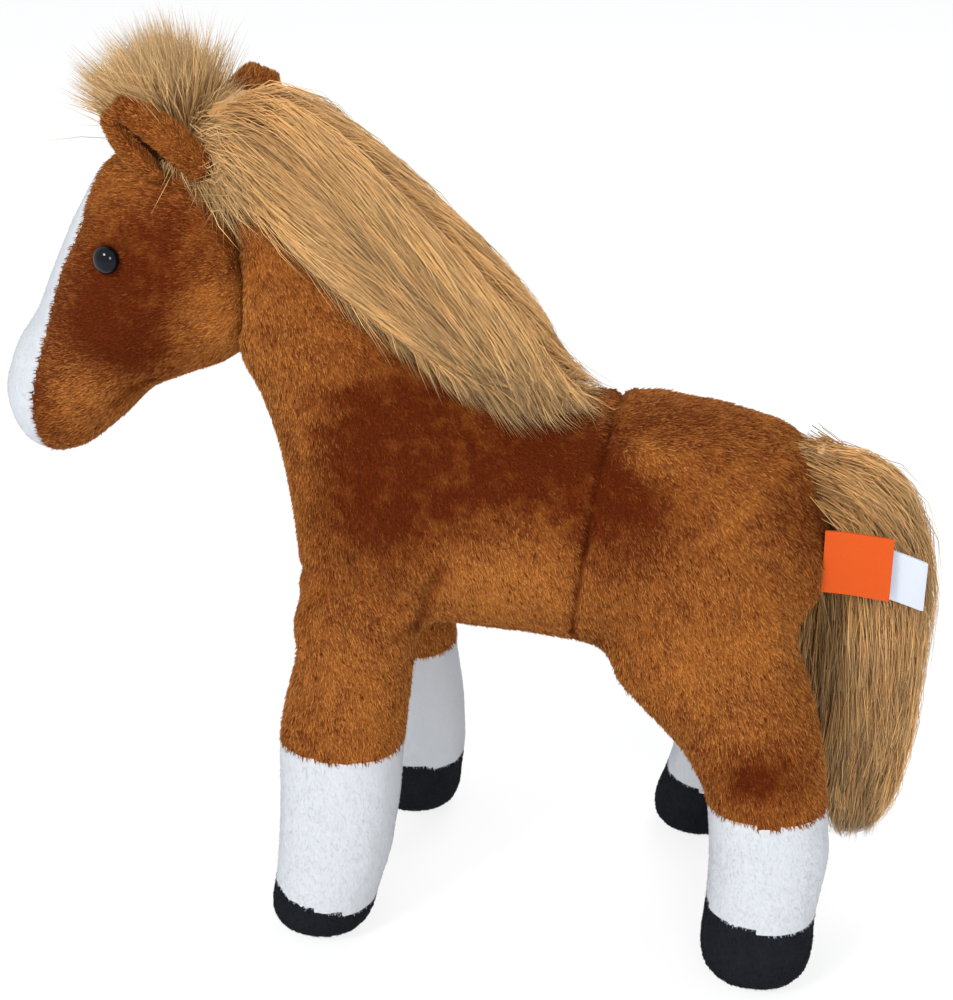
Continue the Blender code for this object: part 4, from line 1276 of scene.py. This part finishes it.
undercoat(mane_core, HAIR)
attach(mane_core, "torso")
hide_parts("mane")

# %% [markdown]
# The forelock is a tuft of the same long pile between the ears. Most of it stands up and fans out
# over the forehead. The rest comes out of one whorl at the poll and fills the space before the
# mane. It lies on head and neck at once.

# %% Forelock
head_tree = shape_tree(head)


def on_head(x, y):
    """Places on top of the head over the given x and y, and the head's normals there."""
    return nearest(head_tree, np.stack([x, y, np.full(len(x), 0.272)], axis=1))


def forelock_way(points):
    """Outwards from the root, then over to the nose."""
    return unit(unit(points - np.array((-0.087, 0.0, 0.252))) + np.array((-0.08, 0, 0.04)))


def poll_way(points):
    """Out of one whorl behind the left ear."""
    return unit(unit(points - np.array((-0.084, -0.010, 0.262))) + np.array((0.12, -0.05, -0.18)))


rng = np.random.default_rng(100)
count = 8000
roots, normals = on_head(rng.uniform(-0.096, -0.077, count), rng.normal(0.001, 0.006, count))
share = np.clip((-0.076 - roots[:, 0]) / 0.019 + rng.normal(0, 0.18, count), 0, 1)
turn = np.radians(66 + 78 * share)
sideways = rng.normal(0, 0.2, count) + roots[:, 1] * 20
aim = unit(np.stack([np.cos(turn), sideways, np.sin(turn)], axis=1))
lengths = rng.uniform(27, 43, count) * (1.0 - 0.08 * share) * MM
# The forelock is the same pile painted darker, a painted shade (bright 0.30).
forelock = strands(
    "forelock_hair", roots, normals, aim, forelock_way, lengths,
    locks=340, seed=101, stray=0.12, bright=0.30,
)

count = 3400
roots, normals = on_head(rng.uniform(-0.089, -0.076, count), rng.uniform(-0.017, 0.004, count))
turn = np.radians(rng.uniform(-72, 100, count))
aim = unit(np.stack([np.cos(turn), rng.normal(-0.3, 0.12, count), np.sin(turn)], axis=1))
lengths = rng.uniform(26, 46, count) * (0.62 + 0.38 * np.cos(turn + 0.35)) * MM
poll_hair = strands(
    "poll_hair", roots, normals, aim, poll_way, lengths,
    locks=260, seed=102, radius=0.15 * MM, over=under_mane, stray=0.08, cling=0.6,
)
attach(forelock, "head")
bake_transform(poll_hair)
for piece in (forelock, poll_hair):
    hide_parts("forelock")

# %% [markdown]
# The tail is long pile on a rolled strip that is sewn into the rump at its upper end. It arches out
# by its own stiffness and then hangs. A second layer of hair fills the space between the tail and
# the hind legs; it is painted darker, a painted shade that gives the tail depth from the side.

# %% Tail
tail_core = stuffed("tail_under", ["tail_hair"], 2.6 * MM, 0.0, 6.5 * MM, 6)
ROOT = np.array((0.105483, 0.0, 0.1695))
TAIL_LINE = ROOT + np.array([
    (0.0, 0.0), (0.28, 0.005), (0.52, 0.09), (0.64, 0.21), (0.67, 0.37),
    (0.69, 0.55), (0.68, 0.74), (0.62, 0.89), (0.50, 1.0),
])[:, [0, 0, 1]] * np.array((0.048, 0.0, -0.146))


def tail_way(points):
    """Along the tail's middle line."""
    away = np.linalg.norm(points[:, None] - TAIL_LINE[None], axis=2)
    close = bell(away, 0.016) + 1e-9
    tangents = unit(np.gradient(TAIL_LINE, axis=0))
    return unit((close[:, :, None] * tangents[None]).sum(axis=1))


points = points_of(tail_core)
to_dock = np.linalg.norm(points - ROOT - np.array((0.012, 0, 0)), axis=1)
sink = 3 * MM * bell(to_dock, 0.014)
move_points(tail_core, points - sink[:, None] * np.array((0, 0, 1)))
rng = np.random.default_rng(110)
roots, normals, _ = spread(tail_core, 8800, everywhere, rng)
count = 1900
dock = ROOT + np.stack([
    rng.uniform(0.001, 0.012, count), rng.normal(0.001, 0.005, count),
    rng.uniform(-0.015, 0.001, count),
], axis=1)
fall = np.radians(rng.uniform(16, 58, count))
outward = np.stack([np.cos(fall), rng.normal(0, 0.3, count), -np.sin(fall)], axis=1)
roots = np.concatenate([roots, dock])
normals = np.concatenate([normals, outward])
left = np.clip((roots[:, 2] - (ROOT[2] - 0.150)) * 1.1, 14 * MM, 60 * MM)
tail = strands(
    "tail_hair_pile", roots, normals, tail_way(roots) + normals * 0.25, tail_way,
    left * rng.uniform(0.65, 1.0, len(roots)), locks=520, seed=111,
    over=shape_tree(tail_core, form, *leg_skins.values()), loft=5.0, stray=0.14, cling=0.5,
    within=shape_tree(frame["nodes"]["tail_hair"]),
)

count = 3600
step = rng.uniform(0.8, 6.2, count)
line = np.stack([np.interp(step, range(len(TAIL_LINE)), column) for column in TAIL_LINE.T], axis=1)
inward = rng.uniform(6, 29, count) * np.clip(step / 3.0, 0.3, 1.0) * MM
roots = line - np.stack([inward, rng.normal(0, 0.004, count), inward * 0.2], axis=1)
left = np.clip(roots[:, 2] - 0.030, 12 * MM, 48 * MM) * rng.uniform(0.7, 1.0, count)
# The fringe's hair is painted darker, a painted shade between the tail and the legs.
fringe = strands(
    "tail_fringe", roots, np.tile((-1.0, 0.0, 0.0), (count, 1)),
    tail_way(roots) + np.array((0.05, 0, -0.5)),
    lambda points: unit(tail_way(points) + np.array((0.0, 0, -0.8))), left,
    locks=160, seed=112, over=shape_tree(form, *leg_skins.values()), loft=2.0, stray=0.10,
    cling=0.0, bright=0.36,
)
for piece, nodes in (
    (tail, ("tail_hair",)), (fringe, ("tail_hair",)), (tail_core, ("tail_hair", "tail_core")),
):
    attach(piece, "tail")
    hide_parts(*nodes)
undercoat(tail_core, HAIR)

# %% [markdown]
# Each ear is a plush outside and a dark inside, sewn together and curled. One skin is made round
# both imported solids, and the nearer of the two decides the material and the pile at each point.
# The tips are moved by a few millimetres, and the roots are tucked into the hair.

# %% Ears
EAR_TIP_MOVE = {"left": (1.0, 0.0, 2.8), "right": (-3.0, 0.0, -3.0)}
EAR_ROOT_MOVE = {"left": (-2.0, 6.5, 1.0), "right": (-2.0, -1.0, 1.0)}
for side_name in ("left", "right"):
    ear = stuffed(
        f"ear_{side_name}_skin", [f"ear_{side_name}", f"ear_lining_{side_name}"],
        1.0 * MM, 1.3 * MM, -1.25 * MM, 5,
    )
    brown = shape_tree(frame["nodes"][f"ear_{side_name}"])
    dark = shape_tree(frame["nodes"][f"ear_lining_{side_name}"])
    points = points_of(ear)
    centre = points.mean(axis=0)
    axis = np.linalg.svd(points - centre, full_matrices=False)[2][0]
    if axis @ (centre - np.array((-0.080, 0.0, 0.24))) < 0:
        axis = -axis
    root, tip = ((points - centre) @ axis).min(), ((points - centre) @ axis).max()
    tip_move = np.array(EAR_TIP_MOVE[side_name]) * MM
    root_move = np.array(EAR_ROOT_MOVE[side_name]) * MM

    def moved(points):
        """How far the ear is moved at each point."""
        share = np.clip(((points - centre) @ axis - root) / (tip - root), 0, 1)[:, None]
        return share * tip_move + (1 - share) ** 1.3 * root_move

    def inner(points):
        """Which points belong to the dark lining."""
        packed = points - moved(points)
        outside_skin, inside_skin = nearest(brown, packed)[0], nearest(dark, packed)[0]
        to_lining = np.linalg.norm(packed - inside_skin, axis=1)
        return to_lining < np.linalg.norm(packed - outside_skin, axis=1)

    move_points(ear, points + moved(points))
    pile = tufts(
        f"ear_{side_name}_pile", ear, lambda p, f: 1.0 - inner(p), steady(*axis),
        3.8, 1.7 * MM, 0.50 * MM, 24, CHESTNUT, 120 + len(side_name),
    )
    lining = tufts(
        f"ear_{side_name}_lining_pile", ear, lambda p, f: 1.0 * inner(p), steady(*axis),
        2.4, 1.3 * MM, 0.6 * MM, 20, DARK_LINING, 130 + len(side_name),
    )
    undercoat(ear, CHESTNUT, DARK_LINING, kind=inner)
    for piece, nodes, slot in (
        (pile, (f"ear_{side_name}",), "chestnut_plush"),
        (lining, (f"ear_lining_{side_name}",), "dark_lining"),
        (ear, (f"ear_{side_name}", f"ear_lining_{side_name}"), "chestnut_plush"),
    ):
        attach(piece, f"{side_name}_ear")
        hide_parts(*nodes)

# %% [markdown]
# The eyes are moulded domes of dark polished plastic: nearly black, smooth, and bright only where
# they mirror the lamps. Fine flecks in colour and polish keep them from looking painted.

# %% Eyes
eye_plastic = Finish("eye plastic")
flecks = eye_plastic.noise(eye_plastic.place(), 900.0, 2.0)
eye_plastic.set(
    Base_Color=eye_plastic.mix((0.001, 0.0015, 0.003), (0.003, 0.004, 0.007), flecks),
    Roughness=0.03 + flecks * 0.03, Specular_IOR_Level=0.21,
)
EYE_RADIUS = 4.5 * MM
EYE_FLATNESS = 0.72
for side_name, sign in (("left", -1), ("right", 1)):
    bpy.ops.object.select_all(action="DESELECT")
    bpy.ops.mesh.primitive_uv_sphere_add(segments=40, ring_count=20, radius=EYE_RADIUS)
    eye = bpy.context.object
    eye.name = f"eye_dome_{side_name}"
    outward = Vector((-0.35, sign, 0.12)).to_track_quat("Z", "Y").to_matrix().to_4x4()
    flatten = Matrix.Diagonal((1, 1, EYE_FLATNESS, 1))
    eye.data.transform(Matrix.Translation(EYES[side_name]) @ outward @ flatten)
    bpy.ops.object.shade_smooth()
    eye.data.materials.append(eye_plastic.material)
    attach(eye, "head")
    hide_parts(f"eye_{side_name}")

# %% [markdown]
# Behind the skin a washer locks each eye's shank. It doesn't show from outside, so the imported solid
# itself is kept, and only gets its milky plastic.

# %% Washers
washer_plastic = Finish("washer plastic")
grain = washer_plastic.noise(washer_plastic.place(), 400.0, 3.0)
washer_plastic.set(
    Base_Color=washer_plastic.mix((0.55, 0.55, 0.54), (0.70, 0.70, 0.68), grain),
    Roughness=0.35 + grain * 0.2,
)
for side_name in ("left", "right"):
    washer = frame["nodes"][f"eye_washer_{side_name}"]
    washer.data.materials.clear()
    washer.data.materials.append(washer_plastic.material)

# %% [markdown]
# Two woven tapes are folded in two and sewn into a seam of the rump. Each is one flat strip here
# too, bent over at its fold, with a tape's thickness, a slight curl and a fine weave.

# %% Tabs
RIBS = 7000.0
TAPE_GAP = 0.3 * MM
TAPE_THICKNESS = 0.22 * MM
FOLD_RADIUS = 0.5 * MM


def woven(name, dark, light):
    """Narrow woven tape: fine ribs across it and a paler wear along them."""
    made = Finish(name)
    where = made.place()
    axes = made.node("ShaderNodeSeparateXYZ", {"Vector": where})
    ribs = made.sine(Signal(made, axes.outputs[2]) * RIBS)
    warp = made.sine(Signal(made, axes.outputs[0]) * RIBS)
    weave = (ribs * warp) * 0.5 + 0.5
    soil = made.noise(where, 60.0, 3.0)
    made.set(
        Base_Color=made.mix(dark, light, (weave * 0.5 + soil * 0.5).clamped()),
        Roughness=0.75, Specular_IOR_Level=0.15, Normal=made.bump(weave, 0.25, 0.2 * MM),
    )
    return made.material


ORANGE_TAPE = woven("orange tape", (0.45, 0.054, 0.005), (0.54, 0.078, 0.008))
WHITE_TAPE = woven("white tape", (0.44, 0.47, 0.54), (0.52, 0.55, 0.62))


def folded_tape(name, seam, size, tilt, curl, material):
    """A tape folded in two and sewn in at its open end, curled and hanging a little askew."""
    bpy.ops.object.select_all(action="DESELECT")
    bpy.ops.mesh.primitive_grid_add(x_subdivisions=56, y_subdivisions=16, size=1)
    tape = bpy.context.object
    tape.name = name
    points = points_of(tape)
    length, width = size
    along, across = (points[:, 0] + 0.5) * 2 * length, points[:, 1].copy()
    turn = np.clip((along - length + FOLD_RADIUS) / (2 * FOLD_RADIUS), 0, 1) * math.pi
    out = np.where(along < length, along, 2 * length - along)
    run = out / length
    wave = 0.25 * MM * np.sin(run * 5.0)
    points[:, 0] = np.minimum(out, length - FOLD_RADIUS) + FOLD_RADIUS * np.sin(turn)
    points[:, 1] = -TAPE_GAP * np.cos(turn) - curl * run ** 2 + wave + curl * 0.5 * across * run
    points[:, 2] = across * width - math.tan(tilt) * out * (0.4 + 0.6 * run)
    move_points(tape, points + np.array(seam))
    apply_modifier(tape, "SOLIDIFY", thickness=TAPE_THICKNESS, offset=0.0)
    bpy.ops.object.shade_smooth_by_angle(angle=math.radians(40))
    tape.data.materials.append(material)
    return tape


SEWN_IN = 2.8 * MM
SHORTER = 2.3 * MM
for name, node, rise, askew, narrow, tilt, curl, tape_material, slot in (
    ("orange_tape", "orange_tab", 3.0 * MM, 0.0, 0.0, 3, 0.6 * MM, ORANGE_TAPE, "orange_tape"),
    (
        "white_tape", "white_tab", 3.4 * MM, 0.6 * MM, 2.0 * MM, 15, -2.0 * MM, WHITE_TAPE,
        "white_tape",
    ),
):
    low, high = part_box(node)
    seam = (low[0] + SEWN_IN, (low[1] + high[1]) / 2 + askew, (low[2] + high[2]) / 2 + rise)
    size = (high[0] - low[0] - SHORTER, high[2] - low[2] - narrow)
    tape = folded_tape(name, seam, size, math.radians(tilt), curl, tape_material)
    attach(tape, "tabs")
    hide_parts(node)
    2 * size[0]

# %% Finish
bpy.context.scene.view_settings.view_transform = "Standard"
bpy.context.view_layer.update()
triangles = sum(
    len(polygon.vertices) - 2
    for obj in bpy.data.objects if obj.type == "MESH" for polygon in obj.data.polygons
)
print("about", triangles, "triangles")
